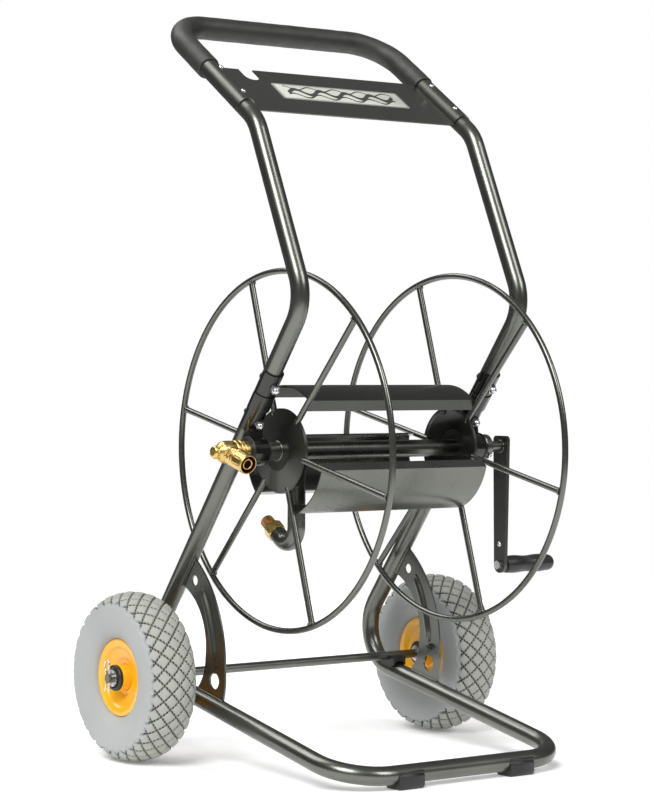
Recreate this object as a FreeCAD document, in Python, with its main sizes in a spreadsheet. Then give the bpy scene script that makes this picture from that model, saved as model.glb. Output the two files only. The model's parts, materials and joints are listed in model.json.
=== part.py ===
import FreeCAD, Part
import math
import os

import Sketcher

# Garden hose reel cart, in millimetres. +X runs along the axles towards the crank,
# -Y is the front with the foot bar, +Z is up and the ground is at zero.
# Every sub-part is drawn about the cart's own lines: X from the middle plane,
# Y from the wheel axle, Z from the ground. settle() then shifts it to the origin,
# which is the point on the ground under the middle of the whole cart's box.

Vector = FreeCAD.Vector
Rotation = FreeCAD.Rotation

os.makedirs("parts", exist_ok=True)
doc = FreeCAD.newDocument("hose_reel_cart")

# ---------------------------------------------------------------- dimensions
DIMENSIONS = [
    ("middle_plane", -18.5, "X of the middle plane between the wheels"),
    ("axle_line", 169.5, "Y of the wheel axle"),
    ("tube_diameter", 28, "frame tube, outside"),
    ("tube_wall", 1.8, "frame tube wall"),
    ("spigot_length", 30, "plug of one tube in the next"),
    ("spigot_clearance", 0.1, "gap between plug and tube"),
    ("frame_half_width", 210, "middle plane to side tube"),
    ("bend_radius", 68, "side tube and handle bends"),
    ("corner_radius", 78, "front corners of the base hoop"),
    ("front_bar_y", -428.7, "foot bar"),
    ("front_bar_z", 20.7, "foot bar"),
    ("rear_corner_y", 113.5, "rear bend, where its two runs would meet"),
    ("rear_corner_z", 129, "rear bend"),
    ("mid_corner_y", -316.6, "middle bend"),
    ("mid_corner_z", 702.8, "middle bend"),
    ("upper_corner_y", -192.1, "upper bend"),
    ("upper_corner_z", 974.5, "upper bend"),
    ("handle_y", 49.4, "handle cross bar"),
    ("handle_z", 1138.6, "handle cross bar"),
    ("rail_run", 300, "foot bar to the joint in each rail"),
    ("leg_joint", 92, "upper bend to the joint of the handle tube"),
    ("grip_start", 152, "upper bend to the end of the foam grip"),
    ("grip_diameter", 36.6, "foam grip"),
    ("panel_low", 28, "upper bend to the panel's lower edge"),
    ("panel_high", 158, "upper bend to the panel's upper edge"),
    ("sleeve_low", 34, "upper bend to the lower end of the rolled ends"),
    ("sleeve_high", 150, "upper bend to the upper end of the rolled ends"),
    ("sheet_thickness", 2, "panel, drum plates"),
    ("badge_length", 246, "badge plate"),
    ("badge_height", 48, "badge plate"),
    ("badge_thickness", 0.8, "badge plate"),
    ("foot_length", 50, "foot along the bar"),
    ("foot_spread", 105, "middle plane to each foot"),
    ("foot_top", 27, "foot height"),
    ("gusset_thickness", 3, "curved brackets at the rear bends"),
    ("axle_diameter", 14, "wheel axle"),
    ("axle_length", 690, "wheel axle"),
    ("axle_height", 130, "wheel axle above the ground"),
    ("track_half", 297, "middle plane to the middle of each wheel"),
    ("wheel_diameter", 260, "tyre"),
    ("wheel_width", 85, "tyre"),
    ("rim_diameter", 118.4, "rim lips"),
    ("rim_seat", 100, "rim under the tyre"),
    ("hub_diameter", 40, "wheel bushes"),
    ("hub_length", 74, "wheel bushes, end to end"),
    ("running_gap", 0.05, "radial gap of a turning fit"),
    ("reel_y", -194.5, "reel axis"),
    ("reel_z", 480, "reel axis"),
    ("reel_shift", 2.5, "reel off the middle plane, towards the crank"),
    ("hoop_half_width", 164, "reel middle to each hoop"),
    ("hoop_radius", 270, "hoops, to the middle of the rod"),
    ("rod_diameter", 9.5, "hoops and spokes"),
    ("spoke_count", 6, "spokes in each hoop"),
    ("spoke_phase", 12.5, "first spoke, from the rear towards the top"),
    ("disc_radius", 64, "hub discs"),
    ("drum_radius", 99, "drum plates, outside"),
    ("drum_half_chord", 45, "drum plates, half width"),
    ("drum_flange_low", 72, "reel axis to the flange edges"),
    ("pipe_diameter", 26.9, "reel axle tube and outlet pipe"),
    ("pipe_wall", 2.6, "reel axle tube and outlet pipe"),
    ("tube_left", -225.9, "left end of the reel axle tube"),
    ("tube_right", 236, "right end of the reel axle tube"),
    ("barrel_diameter", 43.6, "bearing barrels"),
    ("barrel_length", 26, "bearing barrels"),
    ("barrel_bore", 34, "bearing barrels"),
    ("bolt_diameter", 8, "bracket bolts"),
    ("bolt_low", 38, "reel axis to the lower bracket bolt, along the tube"),
    ("bolt_high", 104, "reel axis to the upper bracket bolt, along the tube"),
    ("outlet_x", -132.5, "outlet pipe"),
    ("outlet_drop", 160, "reel axis to the outlet pipe's corner"),
    ("outlet_run", 57, "corner to the end of the outlet pipe"),
    ("outlet_rise", 33, "slope of the outlet's end, degrees"),
    ("outlet_bend", 24, "outlet pipe bend"),
    ("spindle_diameter", 17.5, "crank spindle"),
    ("arm_inner", 271, "inner face of the crank arm"),
    ("arm_thickness", 6, "crank arm"),
    ("crank_reach", 190, "reel axis to the grip axis"),
    ("grip_near", 281, "crank grip, inner end"),
    ("grip_far", 382, "crank grip, outer end"),
    ("branch_x", -261, "inlet branch"),
    ("branch_droop", 16.7, "inlet branch below level, degrees"),
    ("branch_mouth", 59, "reel axis to the mouth of the coupling nut"),
    ("nut_start", 20, "reel axis to the rear of the coupling nut"),
    ("nut_shoulder", 40, "reel axis to the shoulder inside the coupling nut"),
    ("nut_diameter", 30, "coupling nut"),
    ("nut_mouth", 25, "coupling nut, inside its mouth"),
    ("water_bore", 12.4, "branch and coupling tail"),
]

sheet = doc.addObject("Spreadsheet::Sheet", "cart")
for row, (alias, value, note) in enumerate(DIMENSIONS, start=1):
    sheet.set("A%d" % row, alias)
    sheet.set("B%d" % row, str(value))
    sheet.setAlias("B%d" % row, alias)
    sheet.set("C%d" % row, note)
doc.recompute()

nodes = {}


def size(alias):
    return float(sheet.get(alias))


def bind(feature, **formulas):
    """Bind properties of a feature to formulas of the sheet's cells."""
    for name, formula in formulas.items():
        feature.setExpression(name, formula)
    return feature


def settle(item, label, x=0.0, y=0.0, z=0.0, turn=Rotation()):
    """Name a finished sub-part and put it in the cart."""
    item.Label = label
    at = Vector(size("middle_plane") + x, size("axle_line") + y, z)
    item.Placement = FreeCAD.Placement(at, turn)
    nodes[label] = item
    return item


def about_x(degrees):
    return Rotation(Vector(1, 0, 0), degrees)


# ---------------------------------------------------------------- sketch helpers
def new_body(name):
    return doc.addObject("PartDesign::Body", name + "_body")


def origin_feature(body, role):
    return [item for item in body.Origin.OriginFeatures if item.Role == role][0]


def sketch_on(body, role, lift=0.0):
    """A sketch on one of the body's origin planes, lifted along its normal."""
    sketch = body.newObject("Sketcher::SketchObject", body.Name + "_sketch")
    sketch.AttachmentSupport = [(origin_feature(body, role), "")]
    sketch.MapMode = "FlatFace"
    sketch.AttachmentOffset = FreeCAD.Placement(Vector(0, 0, lift), Rotation())
    return sketch


def flat(point):
    return Vector(point[0], point[1], 0)


def line(sketch, start, end):
    sketch.addGeometry(Part.LineSegment(flat(start), flat(end)), False)


def arc(sketch, start, middle, end):
    sketch.addGeometry(Part.Arc(flat(start), flat(middle), flat(end)), False)


def polygon(sketch, points):
    for start, end in zip(points, points[1:] + points[:1]):
        line(sketch, start, end)


def circle(sketch, centre, radius):
    """A circle whose radius is bound to a formula of the sheet's cells."""
    probe = Part.Circle(flat(centre), Vector(0, 0, 1), 10.0)
    index = sketch.addGeometry(probe, False)
    sketch.addConstraint(Sketcher.Constraint("Radius", index, 10.0))
    sketch.setExpression("Constraints[%d]" % (sketch.ConstraintCount - 1), radius)
    sketch.addConstraint(Sketcher.Constraint("DistanceX", index, 3, centre[0]))
    sketch.addConstraint(Sketcher.Constraint("DistanceY", index, 3, centre[1]))


def on_circle(centre, radius, degrees):
    angle = math.radians(degrees)
    return (centre[0] + radius * math.cos(angle), centre[1] + radius * math.sin(angle))


def ring_sector(sketch, centre, inner, outer, start, end):
    """A strip bent round a centre, from one angle to another."""
    middle = (start + end) / 2.0
    arc(sketch, on_circle(centre, outer, start), on_circle(centre, outer, middle),
        on_circle(centre, outer, end))
    line(sketch, on_circle(centre, outer, end), on_circle(centre, inner, end))
    arc(sketch, on_circle(centre, inner, end), on_circle(centre, inner, middle),
        on_circle(centre, inner, start))
    line(sketch, on_circle(centre, inner, start), on_circle(centre, outer, start))


def pad(body, sketch, length, back=False):
    feature = body.newObject("PartDesign::Pad", body.Name + "_pad")
    feature.Profile = sketch
    feature.setExpression("Length", length)
    feature.Reversed = back
    sketch.Visibility = False
    return feature


def pocket_through(body, sketch):
    feature = body.newObject("PartDesign::Pocket", body.Name + "_pocket")
    feature.Profile = sketch
    feature.Type = "ThroughAll"
    feature.Midplane = True
    return feature


def revolve(body, sketch, role="X_Axis"):
    feature = body.newObject("PartDesign::Revolution", body.Name + "_revolution")
    feature.Profile = sketch
    feature.ReferenceAxis = (origin_feature(body, role), [""])
    feature.Angle = 360
    return feature


def bent_route(sketch, points, radius):
    """Straight runs between the points, with a tangent arc in every corner."""
    begin = points[0]
    for before, corner, after in zip(points, points[1:], points[2:]):
        back = (flat(before) - flat(corner)).normalize()
        ahead = (flat(after) - flat(corner)).normalize()
        half = back.getAngle(ahead) / 2.0
        reach = radius / math.tan(half)
        first = flat(corner) + back * reach
        last = flat(corner) + ahead * reach
        bisector = (back + ahead).normalize()
        middle = flat(corner) + bisector * (radius / math.sin(half) - radius)
        line(sketch, begin, first)
        arc(sketch, first, middle, last)
        begin = last
    line(sketch, begin, points[-1])


def bent_tube(body, route_plane, points, radius, end_plane, lift, centre, outside, inside):
    """A bent tube: a ring carried along a route that lies in one plane."""
    route = sketch_on(body, route_plane)
    bent_route(route, points, radius)
    ring = sketch_on(body, end_plane, lift)
    circle(ring, centre, outside)
    if inside:
        circle(ring, centre, inside)
    pipe = body.newObject("PartDesign::AdditivePipe", body.Name + "_pipe")
    pipe.Profile = ring
    pipe.Spine = route
    return pipe


def drilled(item, tools):
    """A sub-part with the tools cut out of it."""
    cut = doc.addObject("Part::Cut", item.Name + "_drilled")
    cut.Base = item
    if len(tools) > 1:
        bits = doc.addObject("Part::MultiFuse", item.Name + "_bits")
        bits.Shapes = tools
        cut.Tool = bits
    else:
        cut.Tool = tools[0]
    return cut


def cylinder(name, radius, height, at, direction=Vector(0, 0, 1)):
    item = doc.addObject("Part::Cylinder", name)
    bind(item, Radius=radius, Height=height)
    item.Placement = FreeCAD.Placement(at, Rotation(Vector(0, 0, 1), direction))
    return item


def gathered(name, items):
    """Separate solids kept together as one group."""
    group = doc.addObject("Part::Compound", name + "_group")
    group.Links = items
    return group


# ---------------------------------------------------------------- cart geometry
HALF = size("frame_half_width")
TUBE = size("tube_diameter") / 2.0
FRONT = Vector(0, size("front_bar_y"), size("front_bar_z"))
REAR = Vector(0, size("rear_corner_y"), size("rear_corner_z"))
MIDDLE = Vector(0, size("mid_corner_y"), size("mid_corner_z"))
UPPER = Vector(0, size("upper_corner_y"), size("upper_corner_z"))
HANDLE = Vector(0, size("handle_y"), size("handle_z"))
REEL = Vector(0, size("reel_y"), size("reel_z"))
AXLE = Vector(0, 0, size("axle_height"))


def slope(start, end):
    """Angle of a run in the side view, from the rear direction towards up."""
    return math.degrees(math.atan2(end.z - start.z, end.y - start.y))


RAIL_SLOPE = slope(FRONT, REAR)
SLANT_SLOPE = slope(REAR, MIDDLE)
LEG_SLOPE = slope(UPPER, HANDLE)
RAIL_WAY = (REAR - FRONT).normalize()
SLANT_WAY = (MIDDLE - REAR).normalize()
LEG_WAY = (HANDLE - UPPER).normalize()
LEG_LENGTH = (HANDLE - UPPER).Length
RAIL_JOINT = FRONT + RAIL_WAY * size("rail_run")
LEG_JOINT = UPPER + LEG_WAY * size("leg_joint")
# foot of the reel axis on the slanting tube, and the bracket's turn about X
BRACKET_FOOT = REAR + SLANT_WAY * (REEL - REAR).dot(SLANT_WAY)
BRACKET_TURN = SLANT_SLOPE - 90.0
AXIS_GAP = (REEL - BRACKET_FOOT).Length

TUBE_OUT = "cart.tube_diameter / 2"
TUBE_IN = "cart.tube_diameter / 2 - cart.tube_wall"
PLUG_OUT = "cart.tube_diameter / 2 - cart.tube_wall - cart.spigot_clearance"
PLUG_IN = "cart.tube_diameter / 2 - 2 * cart.tube_wall"
PIPE_OUT = "cart.pipe_diameter / 2"
PIPE_IN = "cart.pipe_diameter / 2 - cart.pipe_wall"
PIPE = size("pipe_diameter") / 2.0


def add_plugs(body, lift, away):
    """Reduced tube ends that plug into the next tubes, on both sides."""
    seat = 6
    for inward in (True, False):
        rings = sketch_on(body, "XZ_Plane", lift)
        for side in (-1, 1):
            circle(rings, (side * HALF, 0), TUBE_IN + " + 0.1" if inward else PLUG_OUT)
            circle(rings, (side * HALF, 0), PLUG_IN)
        length = str(seat) if inward else "cart.spigot_length"
        pad(body, rings, length, back=away if not inward else not away)


# ---------------------------------------------------------------- frame tubes
def make_base_hoop():
    body = new_body("base_hoop")
    run = size("rail_run")
    corners = [(-HALF, run), (-HALF, 0), (HALF, 0), (HALF, run)]
    bent_tube(body, "XY_Plane", corners, size("corner_radius"), "XZ_Plane", -run,
              (-HALF, 0), TUBE_OUT, TUBE_IN)
    add_plugs(body, -run, away=True)
    settle(body, "base_hoop", 0, FRONT.y, FRONT.z, about_x(RAIL_SLOPE))


def rivet_spots():
    """Rivets of the panel: leg distance and angle round the tube, per side."""
    low = size("sleeve_low") + 23
    high = size("sleeve_high") - 21
    return [(side, run) for side in (-1, 1) for run in (low, high)]


def rivet_axis(side, run):
    """A point on the side tube's line and the rivet's outward direction."""
    tilt = 90 + 15 * side
    outward = Vector(math.cos(math.radians(tilt)), 0, math.sin(math.radians(tilt)))
    outward = about_x(LEG_SLOPE).multVec(outward)
    base = UPPER + LEG_WAY * run
    return Vector(side * HALF, base.y, base.z), outward


def rivet_holes(name, want):
    """Drill bits for the rivets whose leg distance passes the test."""
    bits = []
    for index, (side, run) in enumerate(rivet_spots()):
        if want(side, run):
            at, outward = rivet_axis(side, run)
            start = at + outward * 8
            bits.append(cylinder("%s_bit_%d" % (name, index), "2.5", "12", start, outward))
    return bits


def in_cart(item, x=0.0, y=0.0, z=0.0, turn=Rotation()):
    """Place an inner feature by the cart's own lines, before the final shift."""
    item.Placement = FreeCAD.Placement(Vector(x, y, z), turn)
    return item


def bolt_holes(name, side):
    """Drill bits for the two bracket bolts of one side."""
    across = about_x(BRACKET_TURN).multVec(Vector(0, 1, 0))
    bits = []
    for index, run in enumerate((size("bolt_low"), size("bolt_high"))):
        at = BRACKET_FOOT + SLANT_WAY * run - across * 30
        bits.append(cylinder("%s_bolt_bit_%d" % (name, index), "cart.bolt_diameter / 2 + 0.1",
                             "60", Vector(side * HALF, at.y, at.z), across))
    return bits


def make_side_tube(label, side):
    body = new_body(label)
    end = UPPER + LEG_WAY * size("leg_joint")
    to_local = about_x(-RAIL_SLOPE)
    corners = []
    for point in (RAIL_JOINT, REAR, MIDDLE, UPPER, end):
        local = to_local.multVec(point - RAIL_JOINT)
        corners.append((local.y, local.z))
    bent_tube(body, "YZ_Plane", corners, size("bend_radius"), "XZ_Plane", 0, (0, 0),
              TUBE_OUT, TUBE_IN)
    in_cart(body, side * HALF, RAIL_JOINT.y, RAIL_JOINT.z, about_x(RAIL_SLOPE))
    joint = size("leg_joint")
    tools = bolt_holes(label, side)
    tools += rivet_holes(label, lambda where, run: where == side and run < joint)
    settle(drilled(body, tools), label)


def make_handle_tube():
    body = new_body("handle_tube")
    run = LEG_LENGTH - size("leg_joint")
    corners = [(-HALF, 0), (-HALF, run), (HALF, run), (HALF, 0)]
    bent_tube(body, "XY_Plane", corners, size("bend_radius"), "XZ_Plane", 0, (-HALF, 0),
              TUBE_OUT, TUBE_IN)
    add_plugs(body, 0, away=False)
    in_cart(body, 0, LEG_JOINT.y, LEG_JOINT.z, about_x(LEG_SLOPE))
    joint = size("leg_joint")
    tools = rivet_holes("handle_tube", lambda side, at: at > joint)
    settle(drilled(body, tools), "handle_tube")


def make_handle_grip():
    body = new_body("handle_grip")
    start = size("grip_start") - size("leg_joint")
    run = LEG_LENGTH - size("leg_joint")
    corners = [(-HALF, start), (-HALF, run), (HALF, run), (HALF, start)]
    bent_tube(body, "XY_Plane", corners, size("bend_radius"), "XZ_Plane", -start, (-HALF, 0),
              "cart.grip_diameter / 2", TUBE_OUT + " + cart.running_gap")
    settle(body, "handle_grip", 0, LEG_JOINT.y, LEG_JOINT.z, about_x(LEG_SLOPE))


# ---------------------------------------------------------------- panel
def make_top_panel():
    body = new_body("top_panel")
    joint = size("leg_joint")
    low = size("panel_low") - joint
    high = size("panel_high") - joint
    edge = HALF - TUBE - 0.5
    inset = HALF - size("grip_diameter") / 2.0 - 0.7
    step = size("sleeve_high") - joint
    thick = size("sheet_thickness")
    notch_left, notch_right, notch_floor = -152.5, -126.0, high - 19.0
    notch_middle = (notch_left + notch_right) / 2.0
    notch_radius = (notch_right - notch_left) / 2.0
    outline = sketch_on(body, "XY_Plane", -thick / 2.0)
    line(outline, (-edge, low), (edge, low))
    line(outline, (edge, low), (edge, step))
    line(outline, (edge, step), (inset, step))
    line(outline, (inset, step), (inset, high))
    line(outline, (inset, high), (notch_right, high))
    line(outline, (notch_right, high), (notch_right, notch_floor))
    arc(outline, (notch_right, notch_floor), (notch_middle, notch_floor - notch_radius),
        (notch_left, notch_floor))
    line(outline, (notch_left, notch_floor), (notch_left, high))
    line(outline, (notch_left, high), (-inset, high))
    line(outline, (-inset, high), (-inset, step))
    line(outline, (-inset, step), (-edge, step))
    line(outline, (-edge, step), (-edge, low))
    pad(body, outline, "cart.sheet_thickness")
    inner = TUBE + 0.1
    for side, start, end in ((-1, -4, 200), (1, -20, 184)):
        sleeve = sketch_on(body, "XZ_Plane", joint - size("sleeve_high"))
        ring_sector(sleeve, (side * HALF, 0), inner, inner + thick, start, end)
        pad(body, sleeve, "cart.sleeve_high - cart.sleeve_low")
    in_cart(body, 0, LEG_JOINT.y, LEG_JOINT.z, about_x(LEG_SLOPE))
    settle(drilled(body, rivet_holes("panel", lambda side, run: True)), "top_panel")


def make_panel_rivets():
    """Dome-headed rivets through the rolled ends into the tubes."""
    seat = TUBE + 0.1 + size("sheet_thickness")
    rivets = []
    for side, run in rivet_spots():
        at, outward = rivet_axis(side, run)
        shank = Part.makeCylinder(2.45, seat + 0.5 - 11, at + outward * 11, outward)
        head = Part.makeSphere(4.6, at + outward * (seat - 1.55), outward, 20, 90, 360)
        rivets.append(shank.fuse(head).removeSplitter())
    item = doc.addObject("Part::Feature", "panel_rivets")
    item.Shape = Part.makeCompound(rivets)
    settle(item, "panel_rivets")


def make_badge_plate():
    body = new_body("badge_plate")
    low = 71.5 - size("leg_joint")
    left = -115.0
    right = left + size("badge_length")
    high = low + size("badge_height")
    outline = sketch_on(body, "XY_Plane", size("sheet_thickness") / 2.0)
    polygon(outline, [(left, low), (right, low), (right, high), (left, high)])
    pad(body, outline, "cart.badge_thickness")
    settle(body, "badge_plate", 0, LEG_JOINT.y, LEG_JOINT.z, about_x(LEG_SLOPE))


# ---------------------------------------------------------------- feet and gussets
def make_foot(label, side):
    body = new_body(label)
    top = size("foot_top")
    outline = sketch_on(body, "YZ_Plane", -size("foot_length") / 2.0)
    polygon(outline, [(-17.5, 3), (-14.5, 0), (17, 0), (20, 3), (17.5, top), (-17.5, top)])
    pad(body, outline, "cart.foot_length")
    bar = sketch_on(body, "YZ_Plane")
    circle(bar, (0, FRONT.z), TUBE_OUT + " + 0.1")
    pocket_through(body, bar)
    settle(body, label, side * size("foot_spread"), FRONT.y, 0)


GUSSET_BOLT = (-98.0, 152.5)


def curved_slot(sketch, start, middle, end, width):
    """A slot of even width whose middle line is an arc through three points."""
    curve = Part.Arc(flat(start), flat(middle), flat(end)).toShape().Curve
    centre = (curve.Center.x, curve.Center.y)
    radius = curve.Radius
    angles = []
    for point in (start, end):
        angles.append(math.degrees(math.atan2(point[1] - centre[1], point[0] - centre[0])) % 360)
    first, last = angles
    half = width / 2.0
    mid = (first + last) / 2.0
    for reach in (radius - half, radius + half):
        arc(sketch, on_circle(centre, reach, first), on_circle(centre, reach, mid),
            on_circle(centre, reach, last))
    for angle, outward in ((first, -1), (last, 1)):
        tip = on_circle(centre, radius, angle)
        tangent = angle + 90 * outward * (1 if last > first else -1)
        arc(sketch, on_circle(centre, radius - half, angle), on_circle(tip, half, tangent),
            on_circle(centre, radius + half, angle))


def before_slant(run):
    """A point just in front of the slanting tube, at a distance up from its rear corner."""
    at = REAR + SLANT_WAY * run + about_x(BRACKET_TURN).multVec(Vector(0, -1, 0)) * (TUBE + 0.2)
    return (at.y, at.z)


def above_rail(y):
    """A point just above the rail."""
    rise = math.radians(RAIL_SLOPE)
    height = REAR.z + math.tan(rise) * (y - REAR.y) + (TUBE + 0.2) / math.cos(rise)
    return (y, height)


def make_gusset(label, side):
    """A pressed curved plate between the slanting tube and the rail."""
    body = new_body(label)
    half = size("gusset_thickness") / 2.0
    tube_top, tube_low = before_slant(236), before_slant(182)
    rail_front, rail_rear = above_rail(-116), above_rail(-47)
    belly, waist = (-121, 145), (-69, 160)
    plate = sketch_on(body, "YZ_Plane", -half)
    arc(plate, tube_top, (-103, 233), belly)
    arc(plate, belly, (-121, 120), rail_front)
    line(plate, rail_front, rail_rear)
    arc(plate, rail_rear, (-62, 131), waist)
    arc(plate, waist, (-58, 222), tube_low)
    line(plate, tube_low, tube_top)
    pad(body, plate, "cart.gusset_thickness")
    rib = sketch_on(body, "YZ_Plane", -half)
    curved_slot(rib, (-58, 263), (-81, 214), (-92, 165), 9)
    pad(body, rib, "2.4", back=True)
    holes = sketch_on(body, "YZ_Plane")
    circle(holes, (-38.3, 275.8), "8")
    circle(holes, (-93, 126.5), "12.5")
    circle(holes, GUSSET_BOLT, "3.1")
    pocket_through(body, holes)
    settle(body, label, side * HALF, 0, 0)


def hexagon(across, height, at, direction):
    """A hexagonal bar of a given size across its flats."""
    corner = across / math.sqrt(3)
    points = [flat(on_circle((0, 0), corner, 60 * step)) for step in range(7)]
    bar = Part.Face(Part.makePolygon(points)).extrude(Vector(0, 0, height))
    bar.Placement = FreeCAD.Placement(at, Rotation(Vector(0, 0, 1), direction))
    return bar


def make_gusset_bolts():
    """A small bolt with its nut through each gusset."""
    bolts = []
    for side in (-1, 1):
        plate = Vector(side * HALF, GUSSET_BOLT[0], GUSSET_BOLT[1])
        inward = Vector(-side, 0, 0)
        half = size("gusset_thickness") / 2.0
        shank = Part.makeCylinder(3, 13.5, plate - inward * (half + 0.5), inward)
        head = hexagon(10, 4, plate - inward * (half + 4), inward)
        nut = hexagon(10, 5, plate + inward * half, inward)
        bolts.append(shank.fuse([head, nut]))
    item = doc.addObject("Part::Feature", "gusset_bolts")
    item.Shape = Part.makeCompound(bolts)
    settle(item, "gusset_bolts")


# ---------------------------------------------------------------- wheel axle
CLIP_X = 341.0


def make_wheel_axle():
    length = size("axle_length")
    rod = cylinder("axle_rod", "cart.axle_diameter / 2", "cart.axle_length",
                   Vector(-length / 2.0, 0, AXLE.z), Vector(1, 0, 0))
    holes = [cylinder("clip_hole_%d" % step, "2.1", "20", Vector(x, 0, AXLE.z - 10))
             for step, x in enumerate((-CLIP_X, CLIP_X))]
    settle(drilled(rod, holes), "wheel_axle")


def make_saddle(label, side):
    """The block that fills the gap between the axle and the bend below it."""
    block = doc.addObject("Part::Box", label + "_block")
    block.Length, block.Width, block.Height = 24, 34, 18
    block.Placement.Base = Vector(side * HALF - 12, -17, AXLE.z - 18)
    radius = size("bend_radius")
    half = math.radians(180 - SLANT_SLOPE + RAIL_SLOPE) / 2.0
    inward = ((FRONT - REAR).normalize() + SLANT_WAY).normalize()
    centre = REAR + inward * (radius / math.sin(half))
    bend = doc.addObject("Part::Torus", label + "_bend")
    bind(bend, Radius1="cart.bend_radius", Radius2=TUBE_OUT)
    bend.Placement = FreeCAD.Placement(Vector(side * HALF, centre.y, centre.z),
                                       Rotation(Vector(0, 0, 1), Vector(1, 0, 0)))
    rod = cylinder(label + "_rod", "cart.axle_diameter / 2", "60",
                   Vector(side * HALF - 30, 0, AXLE.z), Vector(1, 0, 0))
    settle(drilled(block, [bend, rod]), label)


def make_axle_washers():
    reach = size("track_half")
    hub = size("hub_length") / 2.0
    washers = []
    for side in (-1, 1):
        for start in (reach - hub - 2.3, reach + hub + 0.3):
            at = Vector(side * start, 0, AXLE.z)
            way = Vector(side, 0, 0)
            ring = Part.makeCylinder(13, 2, at, way).cut(Part.makeCylinder(7.1, 2, at, way))
            washers.append(ring)
    item = doc.addObject("Part::Feature", "axle_washers")
    item.Shape = Part.makeCompound(washers)
    settle(item, "axle_washers")


def make_axle_circlips():
    """Open spring rings that stop the inner washers."""
    start = size("track_half") - size("hub_length") / 2.0 - 4.0
    rings = []
    for side in (-1, 1):
        at = Vector(side * start, 0, AXLE.z)
        way = Vector(side, 0, 0)
        ring = Part.makeCylinder(10, 1.2, at, way).cut(Part.makeCylinder(7.05, 1.2, at, way))
        gap = Part.makeBox(4, 6, 12, Vector(side * start - 2, -3, AXLE.z - 14))
        rings.append(ring.cut(gap))
    item = doc.addObject("Part::Feature", "axle_circlips")
    item.Shape = Part.makeCompound(rings)
    settle(item, "axle_circlips")


def make_r_clip(label, side):
    """A spring cotter: a straight leg through the axle and a wavy leg beside it."""
    body = new_body(label)
    points = [(0, -20), (0, 26), (12, 26), (12, 14), (8.6, 9.5), (11, 0), (8.4, -10), (13, -20)]
    bent_tube(body, "YZ_Plane", points, 2.6, "XY_Plane", -20, (0, 0), "1.5", None)
    settle(body, label, side * CLIP_X, 0, AXLE.z)


# ---------------------------------------------------------------- wheels
def make_tyre(label, side):
    body = new_body(label)
    half = size("wheel_width") / 2.0
    radius = size("wheel_diameter") / 2.0
    seat = size("rim_seat") / 2.0 + 0.1
    lip = size("rim_diameter") / 2.0 + 0.3
    shoulder = (half - 9.5, radius - 3.5)
    bead = (half - 13.5, lip + 1.2)
    section = sketch_on(body, "XY_Plane")
    arc(section, (-shoulder[0], shoulder[1]), (0, radius), shoulder)
    arc(section, shoulder, (half, radius - 31), bead)
    line(section, bead, (23.7, lip))
    line(section, (23.7, lip), (23.7, seat))
    line(section, (23.7, seat), (-23.7, seat))
    line(section, (-23.7, seat), (-23.7, lip))
    line(section, (-23.7, lip), (-bead[0], bead[1]))
    arc(section, (-bead[0], bead[1]), (-half, radius - 31), (-shoulder[0], shoulder[1]))
    revolve(body, section)
    settle(body, label, side * size("track_half"), 0, AXLE.z)


def make_rim(label, side):
    """Two pressed half rims, back to back."""
    lip = size("rim_diameter") / 2.0
    seat = size("rim_seat") / 2.0
    hub = size("hub_diameter") / 2.0 + 0.05
    halves = []
    for way in (-1, 1):
        body = new_body("%s_%s" % (label, "outer" if way > 0 else "inner"))
        section = sketch_on(body, "XY_Plane")
        points = [(0.05, seat), (24.0, seat), (24.6, lip), (27.4, lip), (27.0, seat - 0.5),
                  (15.5, 26), (15.5, hub), (13.3, hub), (13.3, 26.5), (23.6, seat - 2.2),
                  (0.05, seat - 2.2)]
        polygon(section, [(way * x, r) for x, r in points])
        revolve(body, section)
        halves.append(body)
    settle(gathered(label, halves), label, side * size("track_half"), 0, AXLE.z)


def make_hub_bushes(label, side):
    """Two plastic bushes pressed into the rim, which turn on the axle."""
    half = size("hub_length") / 2.0
    outer = size("hub_diameter") / 2.0
    bore = size("axle_diameter") / 2.0 + size("running_gap")
    bushes = []
    for way in (-1, 1):
        body = new_body("%s_%s" % (label, "outer" if way > 0 else "inner"))
        section = sketch_on(body, "XY_Plane")
        points = [(0.2, bore), (0.2, outer), (half - 1.5, outer), (half, outer - 1.5), (half, bore)]
        polygon(section, [(way * x, r) for x, r in points])
        revolve(body, section)
        bushes.append(body)
    settle(gathered(label, bushes), label, side * size("track_half"), 0, AXLE.z)


# ---------------------------------------------------------------- bearings
def make_bearing_bracket(label, side):
    """A saddle bolted in front of the slanting tube, with the bearing barrel."""
    body = new_body(label)
    inner = TUBE + 0.05
    strips = ((inner, inner + 3.2, 20, 104), (inner + 3.0, inner + 5.2, 58, 28))
    for low, high, start, length in strips:
        strip = sketch_on(body, "XY_Plane", start)
        ring_sector(strip, (0, 0), low, high, 180, 360)
        pad(body, strip, str(length))
    web = sketch_on(body, "YZ_Plane", -11)
    polygon(web, [(-14.3, -8), (-30, -2), (-30, 17), (-19, 29), (-14.3, 29)])
    pad(body, web, "22")
    barrel = sketch_on(body, "YZ_Plane", -size("barrel_length") / 2.0)
    circle(barrel, (-AXIS_GAP, 0), "cart.barrel_diameter / 2")
    pad(body, barrel, "cart.barrel_length")
    bore = sketch_on(body, "YZ_Plane")
    circle(bore, (-AXIS_GAP, 0), "cart.barrel_bore / 2")
    pocket_through(body, bore)
    holes = sketch_on(body, "XZ_Plane")
    for run in (size("bolt_low"), size("bolt_high")):
        circle(holes, (0, run), "cart.bolt_diameter / 2 + 0.1")
    pocket_through(body, holes)
    settle(body, label, side * HALF, BRACKET_FOOT.y, BRACKET_FOOT.z, about_x(BRACKET_TURN))


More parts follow.
